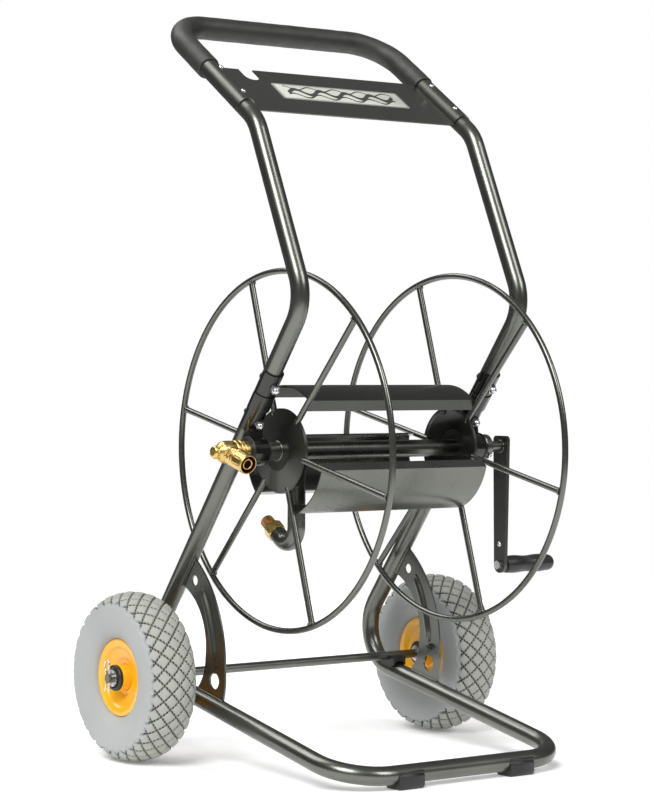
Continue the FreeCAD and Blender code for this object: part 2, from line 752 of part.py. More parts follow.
def make_bearing_bush(label, side):
    """Two flanged plastic bushes, one from each end of the barrel."""
    bore = PIPE + size("running_gap")
    outer = size("barrel_bore") / 2.0 - 0.02
    end = size("barrel_length") / 2.0
    halves = []
    for way in (-1, 1):
        body = new_body("%s_%s" % (label, "right" if way > 0 else "left"))
        section = sketch_on(body, "XY_Plane")
        points = [(0.2, bore), (0.2, outer), (end + 0.05, outer), (end + 0.05, 23),
                  (end + 1.8, 23), (end + 2.8, 22), (end + 2.8, bore)]
        polygon(section, [(way * x, r) for x, r in points])
        revolve(body, section)
        halves.append(body)
    settle(gathered(label, halves), label, side * HALF, REEL.y, REEL.z)


def bracket_bolt_axes():
    """Where each bracket bolt crosses the tube's line, with its forward direction."""
    forward = about_x(BRACKET_TURN).multVec(Vector(0, -1, 0))
    for side in (-1, 1):
        for run in (size("bolt_low"), size("bolt_high")):
            at = BRACKET_FOOT + SLANT_WAY * run
            yield Vector(side * HALF, at.y, at.z), forward


def make_bracket_bolts():
    """Round-headed bolts through the tube from behind."""
    seat = TUBE + 0.1
    bolts = []
    for at, forward in bracket_bolt_axes():
        shank = Part.makeCylinder(size("bolt_diameter") / 2.0, 2 * seat + 8, at - forward * seat, forward)
        washer = Part.makeCylinder(7.5, 1.5, at - forward * (seat + 1.5), forward)
        head = Part.makeSphere(8, at - forward * (seat - 3.3), forward * -1, 37, 90, 360)
        bolts.append(shank.fuse([washer, head]).removeSplitter())
    item = doc.addObject("Part::Feature", "bracket_bolts")
    item.Shape = Part.makeCompound(bolts)
    settle(item, "bracket_bolts")


def make_bracket_dome_nuts():
    """Bright dome nuts in front of the brackets."""
    seat = TUBE + 0.05 + 3.3
    bore = size("bolt_diameter") / 2.0 + 0.05
    nuts = []
    for at, forward in bracket_bolt_axes():
        base = at + forward * seat
        nut = hexagon(13, 6, base, forward)
        dome = Part.makeSphere(5.9, base + forward * 6, forward, 0, 90, 360)
        hole = Part.makeCylinder(bore, 8.5, base, forward)
        nuts.append(nut.fuse(dome).cut(hole))
    item = doc.addObject("Part::Feature", "bracket_dome_nuts")
    item.Shape = Part.makeCompound(nuts)
    settle(item, "bracket_dome_nuts")


# ---------------------------------------------------------------- reel
def make_reel_axle_tube():
    left, right = size("tube_left"), size("tube_right")
    body = new_body("reel_axle_tube")
    rings = sketch_on(body, "YZ_Plane", left)
    circle(rings, (0, 0), PIPE_OUT)
    circle(rings, (0, 0), PIPE_IN)
    pad(body, rings, "cart.tube_right - cart.tube_left")
    in_cart(body, 0, REEL.y, REEL.z)
    port = cylinder("outlet_port", PIPE_IN + " - 2", "20",
                    Vector(size("outlet_x"), REEL.y, REEL.z - 20))
    settle(drilled(body, [port]), "reel_axle_tube")


def hoop_x(side):
    return size("reel_shift") + side * size("hoop_half_width")


def make_hoop(label, side):
    hoop = doc.addObject("Part::Torus", label)
    bind(hoop, Radius1="cart.hoop_radius", Radius2="cart.rod_diameter / 2")
    settle(hoop, label, hoop_x(side), REEL.y, REEL.z, Rotation(Vector(0, 0, 1), Vector(1, 0, 0)))


def spoke_way(step):
    angle = math.radians(size("spoke_phase") + 360.0 / size("spoke_count") * step)
    return Vector(0, math.cos(angle), math.sin(angle))


def make_spokes(label, side):
    """Straight rods from the hub disc's edge to the hoop."""
    rods = []
    start = size("disc_radius") + 0.05
    for step in range(int(size("spoke_count"))):
        rods.append(cylinder("%s_%d" % (label, step + 1), "cart.rod_diameter / 2",
                             "cart.hoop_radius - cart.rod_diameter / 2 - 0.05 - %g" % start,
                             spoke_way(step) * start, spoke_way(step)))
    settle(gathered(label, rods), label, hoop_x(side), REEL.y, REEL.z)


def make_hub_disc(label, side):
    """A shallow pressed dish that bulges outwards round the axle tube."""
    body = new_body(label)
    rim = size("disc_radius")
    section = sketch_on(body, "XY_Plane")
    points = [(-2.5, rim), (2.5, rim), (3.0, rim - 4), (8, 30), (8, PIPE + 0.05),
              (5.5, PIPE + 0.05), (5.5, 29), (0.5, rim - 5), (-2.5, rim - 3)]
    polygon(section, [(side * x, r) for x, r in points])
    revolve(body, section)
    settle(body, label, hoop_x(side), REEL.y, REEL.z)


def make_drum_plate(label, middle_angle):
    """A curved plate with two folded flanges, between the two sets of spokes."""
    body = new_body(label)
    thick = size("sheet_thickness")
    outer = size("drum_radius")
    half = size("drum_half_chord")
    low = size("drum_flange_low")
    edge = math.sqrt(outer ** 2 - half ** 2)
    inner_half = half - thick
    inner_edge = math.sqrt((outer - thick) ** 2 - inner_half ** 2)
    length = 2 * size("hoop_half_width") - size("rod_diameter") - 0.6
    section = sketch_on(body, "YZ_Plane", -length / 2.0)
    arc(section, (half, edge), (0, outer), (-half, edge))
    line(section, (-half, edge), (-half, low))
    line(section, (-half, low), (-inner_half, low))
    line(section, (-inner_half, low), (-inner_half, inner_edge))
    arc(section, (-inner_half, inner_edge), (0, outer - thick), (inner_half, inner_edge))
    line(section, (inner_half, inner_edge), (inner_half, low))
    line(section, (inner_half, low), (half, low))
    line(section, (half, low), (half, edge))
    pad(body, section, "2 * cart.hoop_half_width - cart.rod_diameter - 0.6")
    settle(body, label, size("reel_shift"), REEL.y, REEL.z, about_x(middle_angle - 90))


def outlet_way():
    rise = math.radians(size("outlet_rise"))
    return Vector(0, math.cos(rise), math.sin(rise))


def make_outlet_pipe():
    """A bent pipe that leads the water from the axle tube out to the hose."""
    body = new_body("outlet_pipe")
    drop = size("outlet_drop")
    end = Vector(0, 0, -drop) + outlet_way() * size("outlet_run")
    start = -6.0
    points = [(0, start), (0, -drop), (end.y, end.z)]
    bent_tube(body, "YZ_Plane", points, size("outlet_bend"), "XY_Plane", start, (0, 0),
              PIPE_OUT, PIPE_IN)
    in_cart(body, size("outlet_x"), REEL.y, REEL.z)
    axle = cylinder("outlet_saddle", PIPE_OUT, "80",
                    Vector(size("outlet_x") - 40, REEL.y, REEL.z), Vector(1, 0, 0))
    settle(drilled(body, [axle]), "outlet_pipe")


def make_outlet_union():
    """A brass hexagon with a male thread for the hose on the reel."""
    hexagon_part = doc.addObject("Part::Prism", "union_hexagon")
    hexagon_part.Polygon = 6
    hexagon_part.Circumradius = 15.5
    hexagon_part.Height = 18
    thread = cylinder("union_thread", "10.45", "36", Vector(0, 0, 0))
    solid = doc.addObject("Part::MultiFuse", "union_solid")
    solid.Shapes = [hexagon_part, thread]
    bore = cylinder("union_bore", "6.5", "50", Vector(0, 0, -5))
    corner = REEL - Vector(0, 0, size("outlet_drop"))
    at = corner + outlet_way() * (size("outlet_run") + 0.05)
    turn = Rotation(Vector(0, 0, 1), outlet_way())
    settle(drilled(solid, [bore]), "outlet_union", size("outlet_x"), at.y, at.z, turn)


# ---------------------------------------------------------------- crank
def make_locking_collar():
    body = new_body("locking_collar")
    section = sketch_on(body, "XY_Plane")
    near, far = 228.6, 240.6
    polygon(section, [(near, PIPE + 0.03), (near, 19), (near + 1, 20), (far - 1, 20), (far, 19),
                      (far, PIPE + 0.03)])
    revolve(body, section)
    settle(body, "locking_collar", 0, REEL.y, REEL.z)


def make_collar_screw():
    """A bright cap screw in the locking collar."""
    way = Vector(0, math.cos(math.radians(215)), math.sin(math.radians(215)))
    at = Vector(234.7, REEL.y, REEL.z)
    head = Part.makeCylinder(3.6, 4, at + way * 20.05, way)
    socket = hexagon(3.4, 2.4, at + way * 21.8, way)
    item = doc.addObject("Part::Feature", "collar_screw")
    item.Shape = head.cut(socket)
    settle(item, "collar_screw")


def make_crank_spindle():
    """A stepped spindle plugged into the axle tube, with the arm welded on."""
    body = new_body("crank_spindle")
    plug = PIPE - size("pipe_wall") - 0.05
    shaft = size("spindle_diameter") / 2.0
    section = sketch_on(body, "XY_Plane")
    polygon(section, [(190, 0), (190, plug), (236, plug), (236, shaft),
                      (size("arm_inner") - 0.05, shaft), (size("arm_inner") - 0.05, 0)])
    revolve(body, section)
    settle(body, "crank_spindle", 0, REEL.y, REEL.z)


def make_crank_arm():
    """A flat arm that tapers from the spindle to the grip."""
    body = new_body("crank_arm")
    reach = size("crank_reach")
    big, small, corner = 17.0, 13.0, 7.0
    outline = sketch_on(body, "YZ_Plane", size("arm_inner"))
    low = (0, -reach)
    line(outline, (-small, -reach), (-big, big - corner))
    arc(outline, (-big, big - corner), on_circle((corner - big, big - corner), corner, 135),
        (corner - big, big))
    line(outline, (corner - big, big), (big - corner, big))
    arc(outline, (big - corner, big), on_circle((big - corner, big - corner), corner, 45),
        (big, big - corner))
    line(outline, (big, big - corner), (small, -reach))
    arc(outline, (small, -reach), on_circle(low, small, 270), (-small, -reach))
    pad(body, outline, "cart.arm_thickness")
    holes = sketch_on(body, "YZ_Plane", size("arm_inner") + 3)
    circle(holes, low, "4.05")
    circle(holes, (0, 33 - reach), "2.6")
    pocket_through(body, holes)
    settle(body, "crank_arm", 0, REEL.y, REEL.z)


def make_crank_rivet():
    near = size("arm_inner")
    at = Vector(near, REEL.y, REEL.z - size("crank_reach") + 33)
    way = Vector(1, 0, 0)
    shank = Part.makeCylinder(2.5, size("arm_thickness") + 1, at - way * 0.5, way)
    head = Part.makeSphere(4.6, at + way * 1.55, way * -1, 20, 90, 360)
    tail = Part.makeCylinder(4, 1.5, at + way * size("arm_thickness"), way)
    item = doc.addObject("Part::Feature", "crank_rivet")
    item.Shape = shank.fuse([head, tail])
    settle(item, "crank_rivet")


def make_grip_bolt():
    """The bolt that carries the grip, with its head on the reel side of the arm."""
    near = size("arm_inner")
    at = Vector(near, REEL.y, REEL.z - size("crank_reach"))
    way = Vector(1, 0, 0)
    shank = Part.makeCylinder(4, 96, at - way * 1, way)
    head = hexagon(13, 5.5, at - way * 5.55, way)
    item = doc.addObject("Part::Feature", "grip_bolt")
    item.Shape = shank.fuse(head).removeSplitter()
    settle(item, "grip_bolt")


def make_grip_washer():
    start = size("arm_inner") + size("arm_thickness") + 0.1
    at = Vector(start, REEL.y, REEL.z - size("crank_reach"))
    way = Vector(1, 0, 0)
    ring = Part.makeCylinder(9, 3.5, at, way).cut(Part.makeCylinder(4.1, 3.5, at, way))
    item = doc.addObject("Part::Feature", "grip_washer")
    item.Shape = ring
    settle(item, "grip_washer")


def make_crank_grip():
    """A waisted plastic handle that turns on its bolt."""
    body = new_body("crank_grip")
    near, far = size("grip_near"), size("grip_far")
    bore = 4.0 + size("running_gap")
    section = sketch_on(body, "XY_Plane")
    arc(section, (near + 1.5, 12.2), (near + 20, 13.6), (near + 46, 12.7))
    arc(section, (near + 46, 12.7), (near + 70, 13.5), (far - 8, 12.9))
    arc(section, (far - 8, 12.9), (far - 2.2, 9.6), (far, 4))
    line(section, (far, 4), (far, 0))
    line(section, (far, 0), (far - 12, 0))
    line(section, (far - 12, 0), (far - 12, bore))
    line(section, (far - 12, bore), (near, bore))
    line(section, (near, bore), (near, 10.7))
    line(section, (near, 10.7), (near + 1.5, 12.2))
    revolve(body, section)
    settle(body, "crank_grip", 0, REEL.y, REEL.z - size("crank_reach"))


# ---------------------------------------------------------------- inlet
def branch_turn():
    """Turn that takes +Z onto the branch, forwards and a little down."""
    droop = math.radians(size("branch_droop"))
    return Rotation(Vector(0, 0, 1), Vector(0, -math.cos(droop), -math.sin(droop)))


def make_swivel_body():
    """The brass elbow: a plug in the axle tube, a banded body, a nose and a branch."""
    body = new_body("swivel_barrel")
    plug = PIPE - size("pipe_wall") - size("running_gap")
    section = sketch_on(body, "XY_Plane")
    steps = [(198, 7), (198, plug), (203, plug), (203, plug - 1.9), (206.4, plug - 1.9),
             (206.4, plug), (226.1, plug), (226.1, 16), (236, 16), (236.6, 17.3), (240, 17.3),
             (241, 15.4), (243, 15.4), (244, 17.3), (249, 17.3), (250, 16.5), (272, 16.5),
             (275, 10.6), (277, 9.6), (282, 9.4), (285, 7.4), (286.5, 4.5), (286.5, 0),
             (264, 0), (264, 7)]
    polygon(section, [(-x, r) for x, r in steps])
    revolve(body, section)
    in_cart(body)
    neck = cylinder("swivel_neck", "12.8", "18.2", Vector(size("branch_x"), 0, 0))
    neck.Placement.Rotation = branch_turn()
    solid = doc.addObject("Part::MultiFuse", "swivel_solid")
    solid.Shapes = [body, neck]
    branch_bore = cylinder("swivel_branch_bore", "cart.water_bore / 2", "40",
                           Vector(size("branch_x"), 0, 0))
    branch_bore.Placement.Rotation = branch_turn()
    barrel_bore = cylinder("swivel_barrel_bore", "7", "70", Vector(-264, 0, 0), Vector(1, 0, 0))
    settle(drilled(solid, [branch_bore, barrel_bore]), "swivel_body", 0, REEL.y, REEL.z)


def make_swivel_seal():
    ring = doc.addObject("Part::Torus", "swivel_seal")
    ring.Radius1 = PIPE - size("pipe_wall") - 1.1
    ring.Radius2 = 0.8
    settle(ring, "swivel_seal", -204.7, REEL.y, REEL.z, Rotation(Vector(0, 0, 1), Vector(1, 0, 0)))


def on_branch(body, label):
    settle(body, label, size("branch_x"), REEL.y, REEL.z, branch_turn())


def make_coupling_tail():
    """The tube that the hose is pushed onto, inside the coupling nut."""
    body = new_body("coupling_tail")
    bore = size("water_bore") / 2.0
    step = size("nut_shoulder") + 0.4
    tip = size("branch_mouth") - 1.5
    section = sketch_on(body, "XZ_Plane")
    polygon(section, [(bore, 18.3), (9, 18.3), (9, step), (8.5, step), (8.5, tip - 1),
                      (7.7, tip), (bore, tip)])
    revolve(body, section, "Z_Axis")
    on_branch(body, "coupling_tail")


def make_coupling_nut():
    """The grooved nut that turns on the tail and holds the hose."""
    body = new_body("coupling_nut")
    start, mouth, shoulder = size("nut_start"), size("branch_mouth"), size("nut_shoulder")
    outer = size("nut_diameter") / 2.0
    inside = size("nut_mouth") / 2.0
    slip = 9 + size("running_gap")
    outline = [(slip, start), (outer - 1.4, start), (outer, start + 1.4)]
    for groove in (start + 6, start + 12):
        outline += [(outer, groove), (outer - 1.3, groove + 1.1), (outer - 1.3, groove + 2.1),
                    (outer, groove + 3.2)]
    outline += [(outer, mouth - 1), (outer - 1, mouth), (inside, mouth), (inside, shoulder),
                (slip, shoulder)]
    section = sketch_on(body, "XZ_Plane")
    polygon(section, outline)
    revolve(body, section, "Z_Axis")
    on_branch(body, "coupling_nut")


def make_clamp_ring():
    """The ring that the nut presses round the hose."""
    start = size("nut_shoulder") + 0.6
    disc = cylinder("clamp_ring_disc", "12.2", "5", Vector(0, 0, start))
    hole = cylinder("clamp_ring_hole", "8.6", "5", Vector(0, 0, start))
    on_branch(drilled(disc, [hole]), "clamp_ring")


# ---------------------------------------------------------------- assembly
make_base_hoop()
make_handle_tube()
make_handle_grip()
make_top_panel()
make_panel_rivets()
make_badge_plate()
make_gusset_bolts()
make_wheel_axle()
make_axle_washers()
make_axle_circlips()
make_bracket_bolts()
make_bracket_dome_nuts()
make_reel_axle_tube()
for name, side in (("left", -1), ("right", 1)):
    make_side_tube(name + "_frame_tube", side)
    make_foot(name + "_foot", side)
    make_gusset(name + "_gusset", side)
    make_saddle(name + "_axle_saddle", side)
    make_r_clip(name + "_r_clip", side)
    make_tyre(name + "_tyre", side)
    make_rim(name + "_rim", side)
    make_hub_bushes(name + "_hub_bushes", side)
    make_bearing_bracket(name + "_bearing_bracket", side)
    make_bearing_bush(name + "_bearing_bush", side)
    make_hoop(name + "_hoop", side)
    make_spokes(name + "_spokes", side)
    make_hub_disc(name + "_hub_disc", side)
for step in range(3):
    make_drum_plate("drum_plate_%d" % (step + 1), size("spoke_phase") + 90 + 120 * step)
make_outlet_pipe()
make_outlet_union()
make_locking_collar()
make_collar_screw()
make_crank_spindle()
make_crank_arm()
make_crank_rivet()
make_grip_bolt()
make_grip_washer()
make_crank_grip()
make_swivel_body()
make_swivel_seal()
make_coupling_tail()
make_coupling_nut()
make_clamp_ring()

doc.recompute()

# ---------------------------------------------------------------- checks and export
faults = []
for item in doc.Objects:
    if any(word in ("Invalid", "Error") for word in item.State):
        faults.append("%s: %s" % (item.Label, item.State))
for label, item in nodes.items():
    if item.Shape.isNull() or not item.Shape.isValid() or not item.Shape.Solids:
        faults.append("%s: no valid solid" % label)
if faults:
    raise RuntimeError("; ".join(faults))

box = FreeCAD.BoundBox()
for label, item in nodes.items():
    box.add(item.Shape.BoundBox)
    item.Shape.exportStep("parts/%s.step" % label)
print("%d nodes" % len(nodes))
print("box X %.1f %.1f  Y %.1f %.1f  Z %.1f %.1f" % (box.XMin, box.XMax, box.YMin, box.YMax,
                                                   box.ZMin, box.ZMax))
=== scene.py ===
# %% [markdown]
# # A garden hose reel cart
# The cart is a bent tube frame with two foam-filled wheels, a hand-cranked reel and
# brass water fittings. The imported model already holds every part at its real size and
# place. This lesson gives each part its finish, and swaps the parts whose beauty is in
# small curves (tyres, rims, brass, foam) for finer surfaces of the same size.

import json
import math

import bmesh
import bpy
import numpy as np
from mathutils import Matrix, Vector

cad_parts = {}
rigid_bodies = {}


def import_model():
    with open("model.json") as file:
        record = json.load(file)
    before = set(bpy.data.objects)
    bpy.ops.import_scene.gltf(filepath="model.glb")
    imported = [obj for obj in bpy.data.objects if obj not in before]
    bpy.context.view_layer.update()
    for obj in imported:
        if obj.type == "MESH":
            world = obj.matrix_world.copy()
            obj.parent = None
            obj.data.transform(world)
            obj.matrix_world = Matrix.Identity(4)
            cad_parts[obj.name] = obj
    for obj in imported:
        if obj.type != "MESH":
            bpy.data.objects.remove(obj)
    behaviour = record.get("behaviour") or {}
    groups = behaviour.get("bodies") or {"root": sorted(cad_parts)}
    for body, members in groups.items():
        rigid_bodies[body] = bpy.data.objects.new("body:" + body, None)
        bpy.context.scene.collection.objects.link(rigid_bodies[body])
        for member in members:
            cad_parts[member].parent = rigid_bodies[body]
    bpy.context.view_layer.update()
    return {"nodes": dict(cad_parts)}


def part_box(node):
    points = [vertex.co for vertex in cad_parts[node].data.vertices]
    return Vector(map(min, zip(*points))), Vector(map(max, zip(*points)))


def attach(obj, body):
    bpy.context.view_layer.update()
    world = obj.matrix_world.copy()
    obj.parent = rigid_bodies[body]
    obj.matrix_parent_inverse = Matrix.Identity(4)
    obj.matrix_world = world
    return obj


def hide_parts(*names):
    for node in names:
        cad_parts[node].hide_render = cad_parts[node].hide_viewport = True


for leftover in list(bpy.data.objects):
    bpy.data.objects.remove(leftover)
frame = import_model()
nodes = frame["nodes"]

# %% [markdown]
# ## The cart's own lines
# A maker measures from the wheel axle and from the middle plane, in millimetres. The
# same lines are found again from the boxes of the axle and the hoops, so every new
# surface is worked out in those millimetres and shifted once, at the very end.

# %% Lines of the cart
MM = 0.001


def centre_of(node):
    """The middle of a part's box, in metres."""
    low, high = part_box(node)
    return np.array((low + high) / 2)


axle_middle = centre_of("wheel_axle")
CART_ZERO = np.array([axle_middle[0], axle_middle[1], 0.0])
AXLE = (axle_middle - CART_ZERO) / MM
REEL = (centre_of("left_hoop") - CART_ZERO) / MM
HOOPS = [(centre_of(side + "_hoop")[0] - CART_ZERO[0]) / MM for side in ("left", "right")]
SIDE_X, WHEEL_X = 210.0, 297.0
# The corners of a side tube's line before it is bent, from the foot bar up to the handle.
FRONT = np.array([0, -428.7, 20.7])
REAR = np.array([0, 113.5, 129.0])
MIDDLE = np.array([0, -316.6, 702.8])
UPPER = np.array([0, -192.1, 974.5])
HANDLE = np.array([0, 49.4, 1138.6])
print("axle", AXLE.round(1), "reel", REEL.round(1), "hoops", np.round(HOOPS, 1))


def unit(direction):
    """The same direction with a length of one."""
    direction = np.asarray(direction, float)
    return direction / np.linalg.norm(direction)


SLANT = unit(MIDDLE - REAR)
RAIL = unit(REAR - FRONT)
LEG = unit(HANDLE - UPPER)
OVER_LEG = np.array([0, -LEG[2], LEG[1]])
X_WAY = np.array([1.0, 0, 0])

# %% [markdown]
# ## Camera
# The view is from the front left, a little above the reel, with a long lens from four
# metres, so lines stay nearly parallel. The camera's three directions are built as a
# turntable angle, a small tilt, and a very small roll, and written into its matrix.

# %% Camera
VIEW_TARGET = np.array([0.0840, 0.2138, 0.5509])
VIEW_DISTANCE = 4.1624
FOCAL_LENGTH, SENSOR_WIDTH, FAR_PLANE = 114.37, 36, 200
turn, tilt, roll = np.radians([-36.84, 0.98, 0.40])

back = np.array([np.sin(turn) * np.cos(tilt), -np.cos(turn) * np.cos(tilt), np.sin(tilt)])
level_right = unit(np.cross(-back, (0, 0, 1)))
level_up = np.cross(level_right, -back)
right = level_right * np.cos(roll) + level_up * np.sin(roll)
up = level_up * np.cos(roll) - level_right * np.sin(roll)

lens = bpy.data.cameras.new("camera")
lens.sensor_width = SENSOR_WIDTH
lens.lens = FOCAL_LENGTH
lens.clip_end = FAR_PLANE
camera = bpy.data.objects.new("camera", lens)
place = np.eye(4)
place[:3, 0], place[:3, 1], place[:3, 2] = right, up, back
place[:3, 3] = VIEW_TARGET + back * VIEW_DISTANCE
camera.matrix_world = Matrix(place.tolist())
bpy.context.scene.collection.objects.link(camera)
bpy.context.scene.camera = camera
print("camera at", place[:3, 3].round(3))

# %% [markdown]
# ## Light and floor
# Gloss paint shows its surroundings, so the light decides how it looks. Three wide soft
# suns stand for softboxes far away: they light the whole floor evenly and leave long
# soft streaks on the tubes. The sky between them is dim, which keeps the edges of the
# tubes and the top panel dark, as in a studio with dark flags round a white floor. The
# floor is a round sheet as pale as the paper behind it, so its edge doesn't show, and
# beyond it upright faces have nothing bright to mirror. The paper glows faintly, as a
# sheet lit from behind does, so the shadows on it stay pale.

# %% Light
bpy.context.scene.view_settings.view_transform = "Standard"


def soft_sun(name, azimuth, height, strength, spread):
    """A far softbox: azimuth 0 is the front and 90 the right, spread is its width in degrees."""
    light = bpy.data.lights.new(name, "SUN")
    light.energy = strength
    light.angle = math.radians(spread)
    sun = bpy.data.objects.new(name, light)
    a, h = math.radians(azimuth), math.radians(height)
    way = Vector((math.sin(a) * math.cos(h), -math.cos(a) * math.cos(h), math.sin(h)))
    sun.rotation_euler = way.to_track_quat("Z", "Y").to_euler()
    bpy.context.scene.collection.objects.link(sun)


soft_sun("key_light", -58, 44, 2.5, 30)
soft_sun("fill_light", 22, 36, 1.1, 26)
soft_sun("back_light", 200, 54, 1.4, 40)

world = bpy.data.worlds.new("studio")
bpy.context.scene.world = world
world.use_nodes = True
sky = world.node_tree
sky.nodes.clear()


def add(tree, kind, inputs=None, **settings):
    """Adds a shader node. Inputs are numbers, colours or other nodes' sockets."""
    made = tree.nodes.new("ShaderNode" + kind)
    for name, value in settings.items():
        setattr(made, name, value)
    for name, value in (inputs or {}).items():
        if isinstance(value, bpy.types.NodeSocket):
            tree.links.new(value, made.inputs[name])
        else:
            made.inputs[name].default_value = value
    return made


sky_way = add(sky, "TexCoord").outputs["Generated"]
height = add(sky, "SeparateXYZ", {"Vector": sky_way}).outputs["Z"]
ramp = add(sky, "ValToRGB", {"Fac": height})
SKY_GREYS = [(0.0, 0.16), (0.12, 0.11), (0.5, 0.12), (1.0, 0.26)]
while len(ramp.color_ramp.elements) < len(SKY_GREYS):
    ramp.color_ramp.elements.new(0.5)
for element, (position, grey) in zip(ramp.color_ramp.elements, SKY_GREYS):
    element.position = position
    element.color = (grey, grey, grey * 1.01, 1)
studio = add(sky, "Background", {"Color": ramp.outputs["Color"], "Strength": 1.0})
paper = add(sky, "Background", {"Color": (1, 1, 1, 1), "Strength": 1.0})
seen = add(sky, "LightPath").outputs["Is Camera Ray"]
both = add(sky, "MixShader", {0: seen, 1: studio.outputs[0], 2: paper.outputs[0]})
add(sky, "OutputWorld", {"Surface": both.outputs[0]})
print("sky greys from the horizon up", SKY_GREYS)

# %% Floor
FLOOR_RADIUS, FLOOR_SIDES = 2.6, 96
PAPER_WHITE, PAPER_GLOW = 0.98, 0.16
floor_mesh = bpy.data.meshes.new("floor")
a = np.linspace(0, 2 * np.pi, FLOOR_SIDES, endpoint=False)
disc = np.stack([FLOOR_RADIUS * np.cos(a), FLOOR_RADIUS * np.sin(a), 0 * a], axis=1)
floor_mesh.from_pydata(disc.tolist(), [], [list(range(FLOOR_SIDES))])
floor = bpy.data.objects.new("floor", floor_mesh)
bpy.context.scene.collection.objects.link(floor)
floor_paper = bpy.data.materials.new("floor_paper")
floor_paper.use_nodes = True
paper_shader = floor_paper.node_tree.nodes["Principled BSDF"]
paper_shader.inputs["Base Color"].default_value = (*[PAPER_WHITE] * 3, 1)
paper_shader.inputs["Roughness"].default_value = 0.9
paper_shader.inputs["Specular IOR Level"].default_value = 0.1
paper_shader.inputs["Emission Color"].default_value = (1, 1, 1, 1)
paper_shader.inputs["Emission Strength"].default_value = PAPER_GLOW
floor_mesh.materials.append(floor_paper)
print("floor", 2 * FLOOR_RADIUS, "m wide")

# %% [markdown]
# ## Surfaces from arrays
# Almost every part of a cart is a profile that was turned, bent or pressed. So one
# small kit is enough: a grid of points, faces between neighbours, and a closing step
# that joins the seams. Points are in the cart's millimetres until `piece` shifts them.

# %% Surface kit


def quads(rows, columns, close_rows, close_columns):
    """Faces of a grid: (i, j), (i+1, j), (i+1, j+1), (i, j+1), wrapped where it is closed."""
    i = np.arange(rows if close_rows else rows - 1)[:, None]
    j = np.arange(columns if close_columns else columns - 1)[None, :]
    i_next, j_next = (i + 1) % rows, (j + 1) % columns
    corners = [i * columns + j, i_next * columns + j, i_next * columns + j_next,
               i * columns + j_next]
    return np.stack(np.broadcast_arrays(*corners), axis=-1).reshape(-1, 4)


def piece(name, grids, body, material, stands_for=(), marks=None, crease=38,
          faces=None):
    """Joins grids into one mesh. Each grid is (points, close rows, close columns). It rides
    on a body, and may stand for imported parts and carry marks, one value to a point."""
    points, corners, start = [], [], 0
    for grid, close_rows, close_columns in grids:
        rows, columns = grid.shape[:2]
        points.append(grid.reshape(-1, 3))
        corners.append(quads(rows, columns, close_rows, close_columns) + start)
        start += rows * columns
    mesh = bpy.data.meshes.new(name)
    where = np.vstack(points) * MM + CART_ZERO
    joined = np.vstack(corners) if faces is None else faces
    mesh.from_pydata(where.tolist(), [], joined.tolist())
    for mark, values in (marks or {}).items():
        layer = mesh.attributes.new(mark, "FLOAT", "POINT")
        layer.data.foreach_set("value", np.asarray(values, np.float32).ravel())
    shape = bmesh.new()
    shape.from_mesh(mesh)
    bmesh.ops.remove_doubles(shape, verts=shape.verts, dist=2e-6)
    bmesh.ops.dissolve_degenerate(shape, dist=1e-6, edges=shape.edges)
    bmesh.ops.recalc_face_normals(shape, faces=shape.faces)
    shape.to_mesh(mesh)
    shape.free()
    mesh.shade_smooth()
    mesh.set_sharp_from_angle(angle=math.radians(crease))
    mesh.materials.append(material)
    made = bpy.data.objects.new(name, mesh)
    bpy.context.scene.collection.objects.link(made)
    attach(made, body)
    if stands_for:
        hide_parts(*stands_for)
    print(name, len(mesh.vertices), "points", len(mesh.polygons), "faces")
    return made


def eased(corners, radius, steps=4, closed=True):
    """Rounds the corners of a line: near P it follows (1-t)^2 A + 2t(1-t) P + t^2 B."""
    p = np.asarray(corners, float)

    def toward(other):
        gap = other - p
        length = np.maximum(np.linalg.norm(gap, axis=1), 1e-9)
        return p + gap * (np.minimum(radius, 0.45 * length) / length)[:, None]

    a, b = toward(np.roll(p, 1, axis=0)), toward(np.roll(p, -1, axis=0))
    if not closed:
        a[0], b[0], a[-1], b[-1] = p[0], p[0], p[-1], p[-1]
    t = np.linspace(0, 1, steps)[None, :, None]
    curve = (1 - t) ** 2 * a[:, None] + 2 * t * (1 - t) * p[:, None] + t ** 2 * b[:, None]
    return curve.reshape(-1, p.shape[1])


def across(axis):
    """Two directions at right angles to an axis and to each other."""
    axis = unit(axis)
    helper = (1.0, 0, 0) if abs(axis[0]) < 0.9 else (0, 0, 1.0)
    side = unit(np.cross(axis, helper))
    return side, np.cross(axis, side)


def turned(profile, origin, axis, sides=96, shape=None, close=True):
    """A lathe: origin + s axis + r (cos a side + sin a over), with (s, r) from the profile."""
    s, r = np.asarray(profile, float).T
    a = np.linspace(0, 2 * np.pi, sides, endpoint=False)[None, :]
    s, r = np.broadcast_arrays(s[:, None] + 0 * a, r[:, None] + 0 * a)
    if shape is not None:
        r = shape(s, r, a + 0 * s)
    side, over = across(axis)
    ring = np.cos(a)[..., None] * side + np.sin(a)[..., None] * over
    return (np.asarray(origin, float) + s[..., None] * unit(axis) + r[..., None] * ring,
            close, True)


def hexagonal(flats, low, high):
    """Mills a hexagon between two stations: r is at most flats/2 / cos(angle off the flat)."""

    def cut(s, r, a):
        off = (a + math.pi / 6) % (math.pi / 3) - math.pi / 6
        return np.where((s >= low) & (s <= high), np.minimum(r, flats / 2 / np.cos(off)), r)

    return cut


